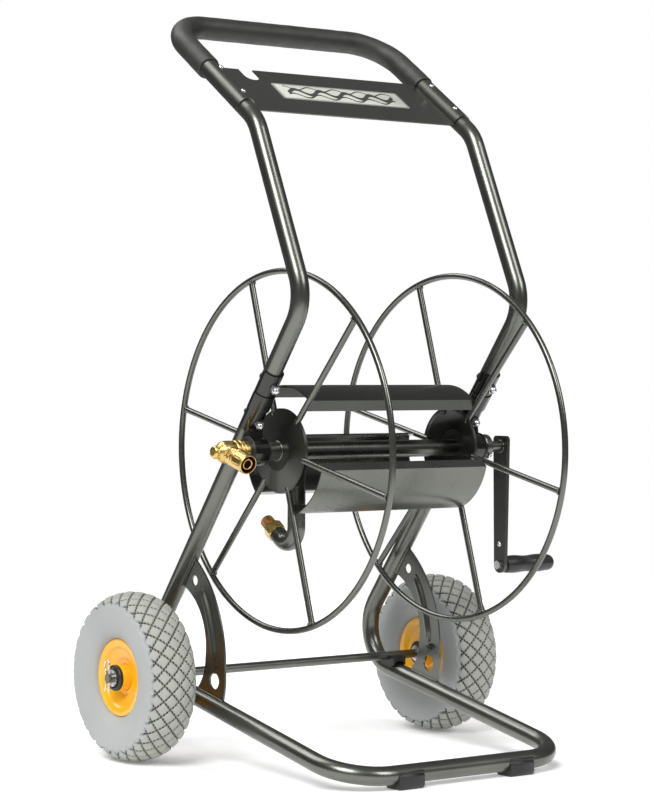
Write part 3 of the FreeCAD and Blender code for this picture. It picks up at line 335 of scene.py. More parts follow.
def bent(corners, radii, steps=14):
    """A line with round corners: an arc of radius R starts R tan(turn/2) before each corner."""
    corners = np.asarray(corners, float)
    radii = np.broadcast_to(radii, len(corners) - 2)
    line = [corners[:1]]
    for before, corner, after, radius in zip(corners, corners[1:], corners[2:], radii):
        into, out = unit(corner - before), unit(after - corner)
        angle = math.acos(np.clip(into @ out, -1, 1))
        inward, onward = unit(out - into), unit(out + into)
        middle = corner + inward * radius / math.cos(angle / 2)
        t = np.linspace(-angle / 2, angle / 2, steps)[:, None]
        line.append(middle + radius * (np.sin(t) * onward - np.cos(t) * inward))
    line.append(corners[-1:])
    return np.vstack(line)


def evenly(line, step):
    """Points of a line about a step apart, found from its running length."""
    length = np.concatenate([[0], np.cumsum(np.linalg.norm(np.diff(line, axis=0), axis=1))])
    count = max(int(round(length[-1] / step)), 2)
    at = np.linspace(0, length[-1], count + 1)
    return np.stack([np.interp(at, length, line[:, k]) for k in range(line.shape[1])], axis=1)


def swept(line, radius, normal, sides=20, closed=False):
    """A round bar along a flat line: point + R (cos a side + sin a normal)."""
    line = np.asarray(line, float)
    if closed:
        along = np.roll(line, -1, axis=0) - np.roll(line, 1, axis=0)
    else:
        along = np.gradient(line, axis=0)
    along /= np.maximum(np.linalg.norm(along, axis=1, keepdims=True), 1e-9)
    normal = np.broadcast_to(unit(normal), line.shape)
    side = np.cross(along, normal)
    side /= np.linalg.norm(side, axis=1, keepdims=True)
    radius = np.broadcast_to(radius, len(line))[:, None, None]
    a = np.linspace(0, 2 * np.pi, sides, endpoint=False)[None, :, None]
    ring = np.cos(a) * side[:, None] + np.sin(a) * normal[:, None]
    return line[:, None] + radius * ring, closed, True


def capped(line, radius, reach=1.0):
    """Ends a bar in half balls: end rings shrink as R sqrt(1 - k^2) while they move out R k."""
    k = np.sin(np.linspace(math.pi / 2, 0, 7))[:, None]
    head = line[0] - unit(line[1] - line[0]) * radius * reach * k
    tail = line[-1] + unit(line[-1] - line[-2]) * radius * reach * k[::-1]
    shrink = radius * np.sqrt(np.maximum(1 - k[:, 0] ** 2, 0))
    return (np.vstack([head[:-1], line, tail[1:]]),
            np.concatenate([shrink[:-1], np.full(len(line), radius), shrink[::-1][1:]]))


print("surface kit ready")

# %% [markdown]
# ## Effects that several finishes share
# No real surface is one flat colour. Three small groups are enough here: a slow mottle
# of tone, a fine skin that catches light (the orange peel of sprayed paint, the grain of
# a mould), and dust that settles on faces that look up. Each finish sets its own values.

# %% Shared groups


def new_group(name, inputs, outputs):
    """An empty node group with float, colour or vector sockets."""
    group = bpy.data.node_groups.new(name, "ShaderNodeTree")
    for socket, kind, value in inputs:
        made = group.interface.new_socket(socket, in_out="INPUT", socket_type="NodeSocket" + kind)
        if value is not None:
            made.default_value = value
    for socket, kind in outputs:
        group.interface.new_socket(socket, in_out="OUTPUT", socket_type="NodeSocket" + kind)
    start = group.nodes.new("NodeGroupInput").outputs
    return group, start, group.nodes.new("NodeGroupOutput").inputs


def maths(tree, operation, a, b=0.0, clamp=False):
    """One sum, product or other operation of two values."""
    return add(tree, "Math", {0: a, 1: b}, operation=operation, use_clamp=clamp).outputs[0]


def between(tree, value, low, high, start=0.0, end=1.0):
    """Maps low...high of a value onto start...end, with an eased S-shape."""
    return add(tree, "MapRange", {"Value": value, "From Min": low, "From Max": high,
                                  "To Min": start, "To Max": end},
               interpolation_type="SMOOTHSTEP").outputs["Result"]


MOTTLE, start, end = new_group(
    "slow_mottle", [("Scale", "Float", 10.0), ("Low", "Float", 0.0), ("High", "Float", 1.0)],
    [("Value", "Float")])
where = add(MOTTLE, "TexCoord").outputs["Object"]
cloud = add(MOTTLE, "TexNoise", {"Vector": where, "Scale": start["Scale"], "Detail": 4.0})
soft = add(MOTTLE, "MapRange", {"Value": cloud.outputs["Fac"], "From Min": 0.32,
                                "From Max": 0.68, "To Min": start["Low"],
                                "To Max": start["High"]})
MOTTLE.links.new(soft.outputs["Result"], end["Value"])

SKIN, start, end = new_group(
    "fine_skin", [("Scale", "Float", 300.0), ("Fineness", "Float", 0.5)], [("Height", "Float")])
where = add(SKIN, "TexCoord").outputs["Object"]
coarse = add(SKIN, "TexNoise", {"Vector": where, "Scale": start["Scale"], "Detail": 1.0})
finer = maths(SKIN, "MULTIPLY", start["Scale"], 4.0)
grain = add(SKIN, "TexNoise", {"Vector": where, "Scale": finer, "Detail": 2.0})
part_grain = maths(SKIN, "MULTIPLY", grain.outputs["Fac"], start["Fineness"])
SKIN.links.new(maths(SKIN, "ADD", coarse.outputs["Fac"], part_grain), end["Height"])

DUST, start, end = new_group(
    "settled_dust", [("Amount", "Float", 0.1)], [("Mask", "Float")])
facing = add(DUST, "NewGeometry").outputs["Normal"]
upward = add(DUST, "SeparateXYZ", {"Vector": facing}).outputs["Z"]
lying = between(DUST, upward, 0.25, 1.0)
where = add(DUST, "TexCoord").outputs["Object"]
patches = add(DUST, "TexNoise", {"Vector": where, "Scale": 38.0, "Detail": 5.0})
speck = between(DUST, patches.outputs["Fac"], 0.38, 0.66)
mask = maths(DUST, "MULTIPLY", maths(DUST, "MULTIPLY", lying, speck), start["Amount"])
DUST.links.new(mask, end["Mask"])
print("groups", [g.name for g in (MOTTLE, SKIN, DUST)])

# %% [markdown]
# ## A finish
# Each finish is one shader. Its colour drifts between two near tones, its gloss drifts
# too, and a bump adds the skin. Values that are the same everywhere stay on the shader's
# own sockets. A finish may add one step of its own to the colour, such as tyre grooves.

# %% Finish maker
FINISHES = {}


def grouped(tree, group, **values):
    """Places a shared group with its own values and returns its first output."""
    made = tree.nodes.new("ShaderNodeGroup")
    made.node_tree = group
    for name, value in values.items():
        made.inputs[name].default_value = value
    return made.outputs[0]


def blend(tree, share, first, second):
    """Mixes two colours by a share from 0 to 1."""
    mix = add(tree, "Mix", data_type="RGBA")
    for socket, value in ((mix.inputs["Factor"], share), (mix.inputs[6], first),
                          (mix.inputs[7], second)):
        if isinstance(value, bpy.types.NodeSocket):
            tree.links.new(value, socket)
        else:
            socket.default_value = value
    return mix.outputs[2]


def finish(name, tone, other_tone, drift=9.0, gloss=(0.3, 0.4), skin=(300, 0.5, 0.1),
           dust=0.0, dust_colour=(0.42, 0.41, 0.38, 1), colour_step=None, **sockets):
    """A material: tones are linear colours, gloss is a range of roughness, skin is
    (scale, fineness, bump strength)."""
    material = bpy.data.materials.new(name)
    material.use_nodes = True
    tree = material.node_tree
    shader = tree.nodes["Principled BSDF"]
    colour = blend(tree, grouped(tree, MOTTLE, Scale=drift), (*tone, 1), (*other_tone, 1))
    if colour_step is not None:
        colour = colour_step(tree, colour)
    if dust:
        colour = blend(tree, grouped(tree, DUST, Amount=dust), colour, dust_colour)
    tree.links.new(colour, shader.inputs["Base Color"])
    rough = grouped(tree, MOTTLE, Scale=drift * 2.7, Low=gloss[0], High=gloss[1])
    tree.links.new(rough, shader.inputs["Roughness"])
    height = grouped(tree, SKIN, Scale=skin[0], Fineness=skin[1])
    bump = add(tree, "Bump", {"Height": height, "Strength": skin[2], "Distance": 0.0004})
    tree.links.new(bump.outputs["Normal"], shader.inputs["Normal"])
    for socket, value in sockets.items():
        shader.inputs[socket.replace("_", " ")].default_value = value
    FINISHES[name] = material


# %% [markdown]
# ## Paint, rubber, foam, brass
# The frame and reel are sprayed with a charcoal metallic paint, so the shader is mostly
# metal with a thin clear coat. The rims are a warm gloss yellow. The tyres are pale grey
# foamed rubber; the groove depth is stored on the mesh and darkens the colour there, as
# painted shade in the grooves. Brass is polished, with browner tarnish where hands miss it.

# %% Finishes
finish("frame_paint", (0.138, 0.143, 0.125), (0.172, 0.178, 0.158), drift=6.0,
       gloss=(0.27, 0.33), skin=(420, 0.6, 0.018), dust=0.03, Metallic=0.94,
       Coat_Weight=0.25, Coat_Roughness=0.10)
finish("reel_paint", (0.128, 0.133, 0.116), (0.160, 0.166, 0.146), drift=7.0,
       gloss=(0.25, 0.31), skin=(420, 0.6, 0.018), dust=0.03, Metallic=0.94,
       Coat_Weight=0.25, Coat_Roughness=0.12)
# A darker copy of the paint; on the upper drum plate its darker tone is painted shade.
finish("darker_finish_and_painted_shade", (0.070, 0.073, 0.064), (0.092, 0.096, 0.085), drift=8.0, gloss=(0.30, 0.38),
       skin=(420, 0.6, 0.018), dust=0.02, Metallic=0.94, Coat_Weight=0.2, Coat_Roughness=0.14)
finish("gloss_black", (0.030, 0.031, 0.028), (0.046, 0.048, 0.043), drift=9.0, gloss=(0.16, 0.24),
       skin=(420, 0.6, 0.012), dust=0.02, Metallic=0.90, Coat_Weight=0.45, Coat_Roughness=0.07)
finish("rim_paint", (0.90, 0.43, 0.008), (0.95, 0.49, 0.014), drift=14.0,
       gloss=(0.26, 0.34), skin=(300, 0.4, 0.06), dust=0.03, Coat_Weight=0.35,
       Coat_Roughness=0.08)
finish("foam", (0.017, 0.017, 0.015), (0.025, 0.025, 0.022), drift=22.0,
       gloss=(0.44, 0.54), skin=(900, 1.0, 0.42), dust=0.03, Specular_IOR_Level=0.7)
finish("black_plastic", (0.011, 0.011, 0.011), (0.018, 0.018, 0.017), drift=16.0,
       gloss=(0.30, 0.44), skin=(700, 0.8, 0.12), dust=0.06)
finish("seal_rubber", (0.013, 0.012, 0.011), (0.020, 0.018, 0.016), drift=30.0,
       gloss=(0.55, 0.7), skin=(800, 0.8, 0.2))
finish("plated_steel", (0.60, 0.61, 0.62), (0.74, 0.75, 0.75), drift=45.0,
       gloss=(0.20, 0.34), skin=(900, 0.7, 0.06), Metallic=1.0)


def tread_tone_and_groove_shade(tree, colour):
    """Darkens the tyre where its mesh says it is in a groove, as painted shade, and greens the
    tread.
    """
    groove = add(tree, "Attribute", attribute_name="groove").outputs["Fac"]
    tread = add(tree, "Attribute", attribute_name="tread").outputs["Fac"]
    worn = blend(tree, tread, colour, (0.372, 0.380, 0.342, 1))
    # Painted shade: deep in a groove the colour goes to near black.
    deep = between(tree, groove, 0.12, 0.54, 0.0, 0.97)
    return blend(tree, deep, worn, (0.040, 0.040, 0.037, 1))


finish("tyre_rubber", (0.365, 0.380, 0.376), (0.405, 0.421, 0.415), drift=12.0,
       gloss=(0.60, 0.74), skin=(420, 0.9, 0.22), dust=0.10, dust_colour=(0.40, 0.39, 0.36, 1),
       colour_step=tread_tone_and_groove_shade, Specular_IOR_Level=0.4)


def tarnish(tree, colour):
    """Browns the brass by the mesh's own tarnish mark and in slow patches."""
    marked = add(tree, "Attribute", attribute_name="tarnish").outputs["Fac"]
    patch = grouped(tree, MOTTLE, Scale=70.0, Low=0.0, High=0.30)
    share = maths(tree, "MAXIMUM", marked, patch)
    return blend(tree, share, colour, (0.36, 0.165, 0.060, 1))


finish("brass", (0.70, 0.49, 0.155), (0.79, 0.58, 0.21), drift=40.0, gloss=(0.26, 0.38),
       skin=(600, 0.6, 0.05), colour_step=tarnish, Metallic=1.0)


def wave_print(tree, colour):
    """A plain maker's ornament: three waves and a border, from the plate's own two marks."""
    along = add(tree, "Attribute", attribute_name="along").outputs["Fac"]
    over = add(tree, "Attribute", attribute_name="over").outputs["Fac"]
    inside = maths(tree, "SUBTRACT", 0.43, maths(tree, "ABSOLUTE", along))
    window = between(tree, inside, 0.0, 0.012)
    ink = None
    for turns, phase, swing, lift, width in ((5, 0.0, 0.16, 0.02, 0.115),
                                             (5, 1.2, 0.12, -0.22, 0.050),
                                             (5, 2.4, 0.10, 0.26, 0.036)):
        angle = maths(tree, "MULTIPLY_ADD", along, 2 * math.pi * turns)
        angle.node.inputs[2].default_value = phase
        crest = maths(tree, "MULTIPLY", maths(tree, "SINE", angle), swing)
        gap = maths(tree, "SUBTRACT", over, maths(tree, "ADD", crest, lift))
        band = between(tree, maths(tree, "ABSOLUTE", gap), width, width * 0.7)
        ink = band if ink is None else maths(tree, "MAXIMUM", ink, band)
    ink = maths(tree, "MULTIPLY", ink, window)
    side = between(tree, maths(tree, "ABSOLUTE", along), 0.482, 0.486)
    edge = between(tree, maths(tree, "ABSOLUTE", over), 0.42, 0.44)
    rim = maths(tree, "MAXIMUM", side, edge)
    return blend(tree, maths(tree, "MAXIMUM", ink, maths(tree, "MULTIPLY", rim, 0.55)),
                 colour, (0.045, 0.048, 0.043, 1))


finish("badge", (0.60, 0.60, 0.54), (0.66, 0.66, 0.60), drift=20.0, gloss=(0.34, 0.46),
       skin=(500, 0.5, 0.05), colour_step=wave_print, Coat_Weight=0.3, Coat_Roughness=0.2)
print("finishes", sorted(FINISHES))

# %% [markdown]
# ## Paint on the imported parts
# Each imported part carries a slot with the name of its paint, so one loop can swap in the
# finishes. The hub discs and crank arm then get a darker finish, and so does the upper drum
# plate, where the darker tone is painted shade. The bearing barrels get a glossier black.
# These few are named and changed after it.

# %% Finishes on the imported parts
# The upper drum plate's darker finish is painted shade; the hub discs and crank arm get the same
# darker finish.
DARK_PARTS = {"left_hub_disc": "darker_finish_and_painted_shade", "right_hub_disc": "darker_finish_and_painted_shade",
              "crank_arm": "darker_finish_and_painted_shade", "drum_plate_1": "darker_finish_and_painted_shade",
              "left_bearing_bracket": "gloss_black", "right_bearing_bracket": "gloss_black",
              "crank_spindle": "reel_paint", "gusset_bolts": "frame_paint"}
for part in nodes.values():
    for own in part.material_slots:
        own.material = FINISHES[own.material.name.split(".")[0]]
for name, own_finish in DARK_PARTS.items():
    nodes[name].material_slots[0].material = FINISHES[own_finish]
print("painted", len(nodes), "packed parts,", len(DARK_PARTS), "of them darker")

# %% [markdown]
# ## Tyres
# A foam-filled tyre is moulded in one piece: a round shoulder, a smooth side, and a
# diamond tread cut by two families of diagonal grooves, which run out over the shoulder.
# It could be made with a texture, but the notched outline of the shoulder would be lost.
# So the whole skin is one grid whose steps run along the diagonals: 24 steps to a diamond
# both ways, 32 diamonds round. The depth of a groove is a smooth function of the distance
# to its middle line.

# %% Tyre sizes
DIAMONDS, STEPS = 32, 24
DIAMOND_HEIGHT, LINE_GAP = 25.2, 17.9
GROOVE_DEPTH, GROOVE_REACH, BLOCK_SWELL = 3.0, 2.6, 0.45
GROOVE_ENDS, GROOVE_FADE = (51, 49), 9
SHOULDER_DEEPER, SHOULDER_WIDER = 0.8, 0.5
FINE_ROWS, COARSE_ROWS = 50, 11
# The seat of the tyre in its rim, as (x from the wheel's middle, radius).
SEAT = np.array([(23.7, 59.4), (23.7, 50.1), (0, 50.1), (-23.7, 50.1), (-23.7, 59.4)])
print("a tyre has", DIAMONDS * STEPS, "columns")

# %% Tyre section


def bezier(a, b, c, d, count):
    """A cubic curve: (1-t)^3 A + 3t(1-t)^2 B + 3t^2(1-t) C + t^3 D."""
    t = np.linspace(0, 1, count)[:, None]
    a, b, c, d = (np.asarray(q, float) for q in (a, b, c, d))
    return (1 - t) ** 3 * a + 3 * t * (1 - t) ** 2 * b + 3 * t ** 2 * (1 - t) * c + t ** 3 * d


def smooth(t):
    """The S-curve 3t^2 - 2t^3, held at its ends."""
    t = np.clip(t, 0, 1)
    return t * t * (3 - 2 * t)


def tyre_rows():
    """Rows of the section as (w, x, r): w is the length from the crown along two curves, one
    for the tread and one for the side, with fine rows under the grooves and coarse ones below."""
    tread = bezier((0, 130), (28, 128), (39, 119), (41, 108), 400)
    wall = bezier((41, 108), (43.6, 92), (41, 66), (28.2, 60.2), 400)
    line = np.vstack([tread, wall[1:]])
    length = np.concatenate([[0], np.cumsum(np.linalg.norm(np.diff(line, axis=0), axis=1))])
    fine = DIAMOND_HEIGHT / STEPS * np.arange(FINE_ROWS)
    coarse = np.linspace(fine[-1], length[-1], COARSE_ROWS)[1:]
    half = np.concatenate([fine, coarse])
    w = np.concatenate([-half[:0:-1], half])
    x = np.sign(w) * np.interp(np.abs(w), length, line[:, 0])
    return w, x, np.interp(np.abs(w), length, line[:, 1])


section = tyre_rows()
print("a tyre has", len(section[0]), "rows over its skin")

# %% Tyre tread


def tread_shape(w, u):
    """How far the skin moves out, and its two marks. The lines u + v = n and u - v = n are
    grooves, with v = w / diamond height: at a gap g from the nearest line the depth is
    S(1 - g / reach), where S is `smooth`. Between them a block swells as sin^2 sin^2."""
    v = (w / DIAMOND_HEIGHT)[:, None]
    edge = np.abs(w)[:, None]
    first, second = u + v, u - v
    fades = [smooth((end - edge) / GROOVE_FADE) for end in GROOVE_ENDS]
    wide = GROOVE_REACH * (1 + SHOULDER_WIDER * smooth((edge - 36) / 8))
    depth = np.zeros_like(first)
    for lines, fade in zip((first, second), fades):
        gap = np.abs(lines - np.round(lines)) * LINE_GAP
        depth = np.maximum(depth, smooth(1 - gap / wide) * fade)
    block = (np.sin(np.pi * first) * np.sin(np.pi * second)) ** 2
    swell = BLOCK_SWELL * (block - 1) * fades[0]
    deeper = 1 + SHOULDER_DEEPER * smooth((edge - 33) / 6)
    # Painted shade for the grooves: the groove depth, beaded along each groove by dots, fainter
    # over the shoulder.
    dots = 0.60 + 0.40 * np.cos(2 * np.pi * 3 * (first - second))
    shade_in_grooves = depth * dots * (1 - 0.75 * smooth((edge - 40) / 6))
    worn = smooth((43 - edge) / 8) + 0 * u
    return swell - GROOVE_DEPTH * depth * deeper, shade_in_grooves, worn


def diamond_faces(rows, columns, middle):
    """Quads whose first corner is turned by one where a line u + v = n is nearer than a line
    u - v = n, so each quad is cut in two along the groove it lies by."""
    corners = quads(rows, columns, True, True).reshape(rows, columns, 4)
    i = np.arange(rows)[:, None] - middle
    j = np.arange(columns)[None, :]
    to_first = np.abs((i + j + 1 + STEPS // 2) % STEPS - STEPS // 2)
    to_second = np.abs((i - j + STEPS // 2) % STEPS - STEPS // 2)
    turned_quad = np.roll(corners, -1, axis=-1)
    return np.where((to_first < to_second)[..., None], turned_quad, corners).reshape(-1, 4)


# %% Tyres


def tyre(side, sign):
    """One tyre: rows go round the section and columns round the wheel. Each point moves along
    the section's outward normal, (-dr/dw, dx/dw) at a length of one."""
    w, x, r = section
    out_x, out_r = -np.gradient(r, w), np.gradient(x, w)
    size = np.hypot(out_x, out_r)
    u = np.arange(DIAMONDS * STEPS)[None, :] / STEPS
    move, shade_in_grooves, worn = tread_shape(w, u)
    seat_x, seat_r = SEAT[:, :1] + 0 * u, SEAT[:, 1:] + 0 * u
    x = np.vstack([x[:, None] + move * (out_x / size)[:, None], seat_x])
    r = np.vstack([r[:, None] + move * (out_r / size)[:, None], seat_r])
    angle = 2 * np.pi * u / DIAMONDS
    grid = np.stack([sign * WHEEL_X + x, r * np.cos(angle), AXLE[2] + r * np.sin(angle)],
                    axis=-1)
    marks = {"groove": np.vstack([shade_in_grooves, 0 * seat_x]), "tread": np.vstack([worn, 0 * seat_x])}
    piece(side + "_tyre_skin", [(grid, True, True)], side + "_wheel",
          FINISHES["tyre_rubber"], [side + "_tyre"], marks, crease=70,
          faces=diamond_faces(*x.shape, len(w) // 2))


for side, sign in (("left", -1), ("right", 1)):
    tyre(side, sign)

# %% [markdown]
# ## Rims and hubs
# Each rim is two pressed half dishes, back to back, with a rolled lip that holds the
# tyre. A short tube is welded in the middle, and a plastic bush is pressed into it. All
# are turned shapes, so they are lathed from a section whose corners are eased, because a
# press never leaves a sharp fold.

# %% Rims and hubs
# Sections as (distance out from the wheel's middle, radius).
RIM_SECTION = [(0.05, 50), (23.2, 50), (24.4, 57.6), (25.4, 59.3), (26.8, 59.3), (27.6, 57.8),
               (27.2, 52.2), (25.4, 47.4), (21.6, 43.6), (18.0, 30.5), (15.6, 26.2),
               (15.5, 20.05), (13.3, 20.05), (13.3, 27.0), (15.9, 31.2), (19.6, 45.0),
               (22.4, 47.8), (0.05, 47.8)]
HUB_TUBE = [(13.6, 18.3), (13.6, 20.05), (30.6, 20.05), (30.6, 18.3)]
BUSH_SECTION = [(0.2, 7.05), (0.2, 18.2), (31.2, 18.2), (31.2, 20), (35.2, 20), (36.7, 18.8),
                (37, 17.2), (37, 15.2), (35.8, 14.4), (35.8, 11.6), (37, 10.8), (37, 7.05)]

for side, sign in (("left", -1), ("right", 1)):
    hub = (sign * WHEEL_X, 0, AXLE[2])
    rim_grids, bush_grids = [], []
    for way in (-1, 1):
        rim_grids.append(turned(eased(RIM_SECTION, 1.6, 5), hub, X_WAY * way, 144))
        rim_grids.append(turned(eased(HUB_TUBE, 0.6, 4), hub, X_WAY * way, 96))
        bush_grids.append(turned(eased(BUSH_SECTION, 0.5, 3), hub, X_WAY * way, 72))
    piece(side + "_rim_dish", rim_grids, side + "_wheel",
          FINISHES["rim_paint"], [side + "_rim"], crease=50)
    piece(side + "_hub_caps", bush_grids, side + "_wheel",
          FINISHES["black_plastic"], [side + "_hub_bushes"])

# %% [markdown]
# ## Spring clips
# A hairpin clip of bright wire goes through each end of the axle. Its wire is a round bar
# swept along a line of straight runs and arcs, with a rounded tip at both ends.

# %% Spring clips
# The wire's corners as (y, z) from the axle's middle, and the radius of each bend.
CLIP_LINE = [(0, -20), (0, 26.4), (12, 26.4), (12, 14), (8.6, 9.5), (11, 0), (8.4, -10),
             (13, -20)]
CLIP_BENDS = (5.9, 5.9, 4, 5, 5, 6)
CLIP_X, WIRE_RADIUS = 341.0, 1.5
for side, sign in (("left", -1), ("right", 1)):
    line = np.array([(sign * CLIP_X, y, AXLE[2] + z) for y, z in CLIP_LINE])
    wire, radii = capped(evenly(bent(line, CLIP_BENDS), 1.0), WIRE_RADIUS)
    piece(side + "_clip_wire", [swept(wire, radii, X_WAY, 18)], "frame",
          FINISHES["plated_steel"], [side + "_r_clip"], crease=60)

# %% [markdown]
# ## Foam grip
# A long foam sleeve is pushed over the handle and goes round both of its bends. Foam ends
# are cut and their edges go soft, and its skin is never quite even, so two slow waves run
# along it.
# The sleeve is swept along the handle's own line, out along its skin and back along its bore.

# %% Foam grip
SLEEVE_START, SLEEVE_RADIUS, SLEEVE_BORE = 152.0, 18.3, 14.1
HANDLE_BEND = 68


def on_leg(x, run):
    """A point of the handle's plane: upper bend + run along the leg + x across."""
    return UPPER + LEG * run + X_WAY * x


leg_length = np.linalg.norm(HANDLE - UPPER)
corners = [on_leg(-SIDE_X, SLEEVE_START), on_leg(-SIDE_X, leg_length),
           on_leg(SIDE_X, leg_length), on_leg(SIDE_X, SLEEVE_START)]
line = evenly(bent(corners, HANDLE_BEND, 28), 3.0)
s = np.linspace(0, 1, len(line))
wave = 0.10 * np.sin(61 * s) + 0.08 * np.sin(143 * s + 1.0)
outer = SLEEVE_RADIUS - 0.2 + wave


def end_rings(point, way):
    """The rounded end of the sleeve: five rings from the bore out to the skin."""
    radius = np.array([SLEEVE_BORE, 16.2, 17.4, 18.0, 18.2])
    inset = np.array([0.0, 0.05, 0.5, 1.3, 2.4])
    return point + way * inset[:, None], radius


first_line, first_radius = end_rings(line[0], unit(line[1] - line[0]))
last_line, last_radius = end_rings(line[-1], unit(line[-2] - line[-1]))
path = np.vstack([first_line, line[1:-1], last_line[::-1]])
radii = np.concatenate([first_radius, outer[1:-1], last_radius[::-1]])
skin_grid, _, _ = swept(path, radii, OVER_LEG, 48)
bore_grid, _, _ = swept(line, SLEEVE_BORE, OVER_LEG, 48)
grip = piece("foam_grip", [(np.concatenate([skin_grid, bore_grid[::-1]]), True, True)], "frame",
             FINISHES["foam"], ["handle_grip"], crease=80)

# %% [markdown]
# ## Brass inlet
# The water comes in through a brass swivel in the end of the reel's axle tube. It is a
# turned body with bands and a nose, and a branch that carries the hose coupling. Brass
# parts are cut on a lathe and then hexagons are milled on them, so each is a turned
# profile whose radius is capped by a hexagon where the spanner goes.

# %% Brass inlet
BRANCH_X = -261.0
droop = math.radians(16.7)
BRANCH = np.array([0, -math.cos(droop), -math.sin(droop)])
BRANCH_ROOT = np.array([BRANCH_X, REEL[1], REEL[2]])
BRASS = FINISHES["brass"]


def knurled(low, high, teeth, depth):
    """Fine lengthwise ridges between two stations: r - depth (1 - |sin(teeth a / 2)|)."""

    def cut(s, r, a):
        on = smooth((s - low) / 0.8) * smooth((high - s) / 0.8)
        return r - depth * on * (1 - np.abs(np.sin(teeth * a / 2)))

    return cut


# Every profile below is (distance along its own axis, radius).
BARREL = [(198, 7), (198, 10.7), (203, 10.7), (203, 8.8), (206.4, 8.8), (206.4, 10.7),
          (226.1, 10.7), (226.1, 15.2), (227, 16), (234.8, 16), (235.6, 15.2), (236.4, 15.2),
          (237.2, 17.3), (240, 17.3), (241, 15.4), (243, 15.4), (244, 17.3), (249, 17.3),
          (250.2, 16.1), (251.6, 16.6), (258, 16.9), (266, 16.6), (271, 15.4), (274, 12.4),
          (275.4, 10.6), (277, 10.0), (277.8, 9.2), (278.8, 9.2), (279.4, 10.0), (283.2, 9.8),
          (285.6, 8.2), (286.5, 5.5), (286.5, 0), (264, 0), (264, 7)]
barrel_line = evenly(eased(BARREL, 0.5, 3), 0.6)
barrel = turned(barrel_line, (0, REEL[1], REEL[2]), -X_WAY, 120, knurled(279.6, 283.4, 44, 0.5))
NECK = [(0, 0), (0, 12.6), (11.2, 12.6), (11.8, 11.4), (12.6, 11.4), (13, 13.6), (13.9, 14.3),
        (17.2, 14.3), (18.2, 13.4), (18.2, 6.2), (4, 6.2), (4, 0)]
neck = turned(evenly(eased(NECK, 0.4, 3), 0.6), BRANCH_ROOT, BRANCH, 96,
              hexagonal(25.6, 12.8, 18.3))
piece("swivel_elbow", [barrel, neck], "inlet_swivel", BRASS, ["swivel_body"], crease=32)

TAIL = [(18.3, 6.2), (18.3, 9), (40.4, 9), (40.4, 8.5), (56.3, 8.5), (57.5, 7.7), (57.5, 6.9),
        (56.7, 6.2)]
tail_line = eased(TAIL, 0.35, 3)
tail_mark = np.full((len(tail_line), 96), 0.25)
tail = turned(tail_line, BRANCH_ROOT, BRANCH, 96)
piece("hose_tail", [tail], "inlet_swivel", BRASS, ["coupling_tail"],
      {"tarnish": tail_mark})

CLAMP = [(40.6, 8.6), (45.6, 8.6), (45.6, 12.2), (40.6, 12.2)]
piece("clamp_band", [turned(eased(CLAMP, 0.6, 4), BRANCH_ROOT, BRANCH, 72)], "inlet_swivel",
      FINISHES["seal_rubber"], ["clamp_ring"])

NUT = [(20, 9.05), (20, 13.4), (21.2, 14.9), (26, 14.9), (26.8, 13.5), (28.2, 13.5), (29, 15),
       (31.8, 15), (32.6, 13.6), (34.2, 13.6), (35.4, 15), (57.4, 15), (59, 13.9), (59, 12.9),
       (58.4, 12.5), (40, 12.5), (40, 9.05)]
nut_line = evenly(eased(NUT, 0.5, 4), 0.7)


def nut_shape(s, r, a):
    """A hexagon behind the first groove, and a shallow grip of wide scallops in front."""
    r = hexagonal(27.4, 19.9, 26.4)(s, r, a)
    on = smooth((s - 37) / 3) * smooth((54 - s) / 3) * (r > 14)
    return r - 0.35 * on * (1 - np.abs(np.sin(9 * a)))


nut_mark = np.repeat(((nut_line[:, 1] < 13.2) & (nut_line[:, 0] > 39))[:, None] * 0.85, 108, 1)
piece("coupling_sleeve", [turned(nut_line, BRANCH_ROOT, BRANCH, 108, nut_shape)],
      "coupling_nut", BRASS, ["coupling_nut"], {"tarnish": nut_mark}, crease=32)

# %% [markdown]
# ## Brass outlet
# Inside the reel a bent pipe ends in a brass union with a male thread. The thread is a
# real helix: the radius falls and rises once for each pitch along the bar and once round
# it, r - d (1 - cos(2 pi s / pitch - a)) / 2. It is cut only where the bar is plain.

# %% Brass outlet
rise = math.radians(33)
OUTLET = np.array([0, math.cos(rise), math.sin(rise)])
PIPE_X, PIPE_DROP, UNION_START = -132.5, 160.0, 57.05
THREAD_PITCH, THREAD_DEPTH = 1.81, 1.2
UNION_ROOT = np.array([PIPE_X, REEL[1], REEL[2] - PIPE_DROP]) + OUTLET * UNION_START
UNION = [(0, 6.5), (0, 13.6), (1.6, 15.5), (16.2, 15.5), (17.8, 13.6), (17.8, 11), (19.4, 9.4),
         (20.6, 9.4), (21.4, 10.45), (34.8, 10.45), (36, 9.3), (36, 7.2), (35.2, 6.5)]
union_line = evenly(eased(UNION, 0.3, 3), 0.28)


def union_shape(s, r, a):
    """The hexagon, and then the helix r - d (1 - cos(2 pi s / pitch - a)) / 2."""
    r = hexagonal(26.8, -1, 18.5)(s, r, a)
    on = smooth((s - 21) / 1.2) * smooth((35.6 - s) / 1.2) * (r > 8.8)
    return r - THREAD_DEPTH / 2 * on * (1 - np.cos(2 * np.pi * s / THREAD_PITCH - a))


union_mark = np.repeat((smooth((union_line[:, 0] - 18.5) / 1.5) * 0.8)[:, None], 96, axis=1)
piece("outlet_thread", [turned(union_line, UNION_ROOT, OUTLET, 96, union_shape)], "reel",
      BRASS, ["outlet_union"], {"tarnish": union_mark}, crease=32)

# %% [markdown]
# ## Crank grip
# The crank's grip is moulded plastic with two waves for the fingers and a domed end. It
# turns on its bolt, so it is one turned surface: r = 13.6 + 0.75 cos of the distance along.

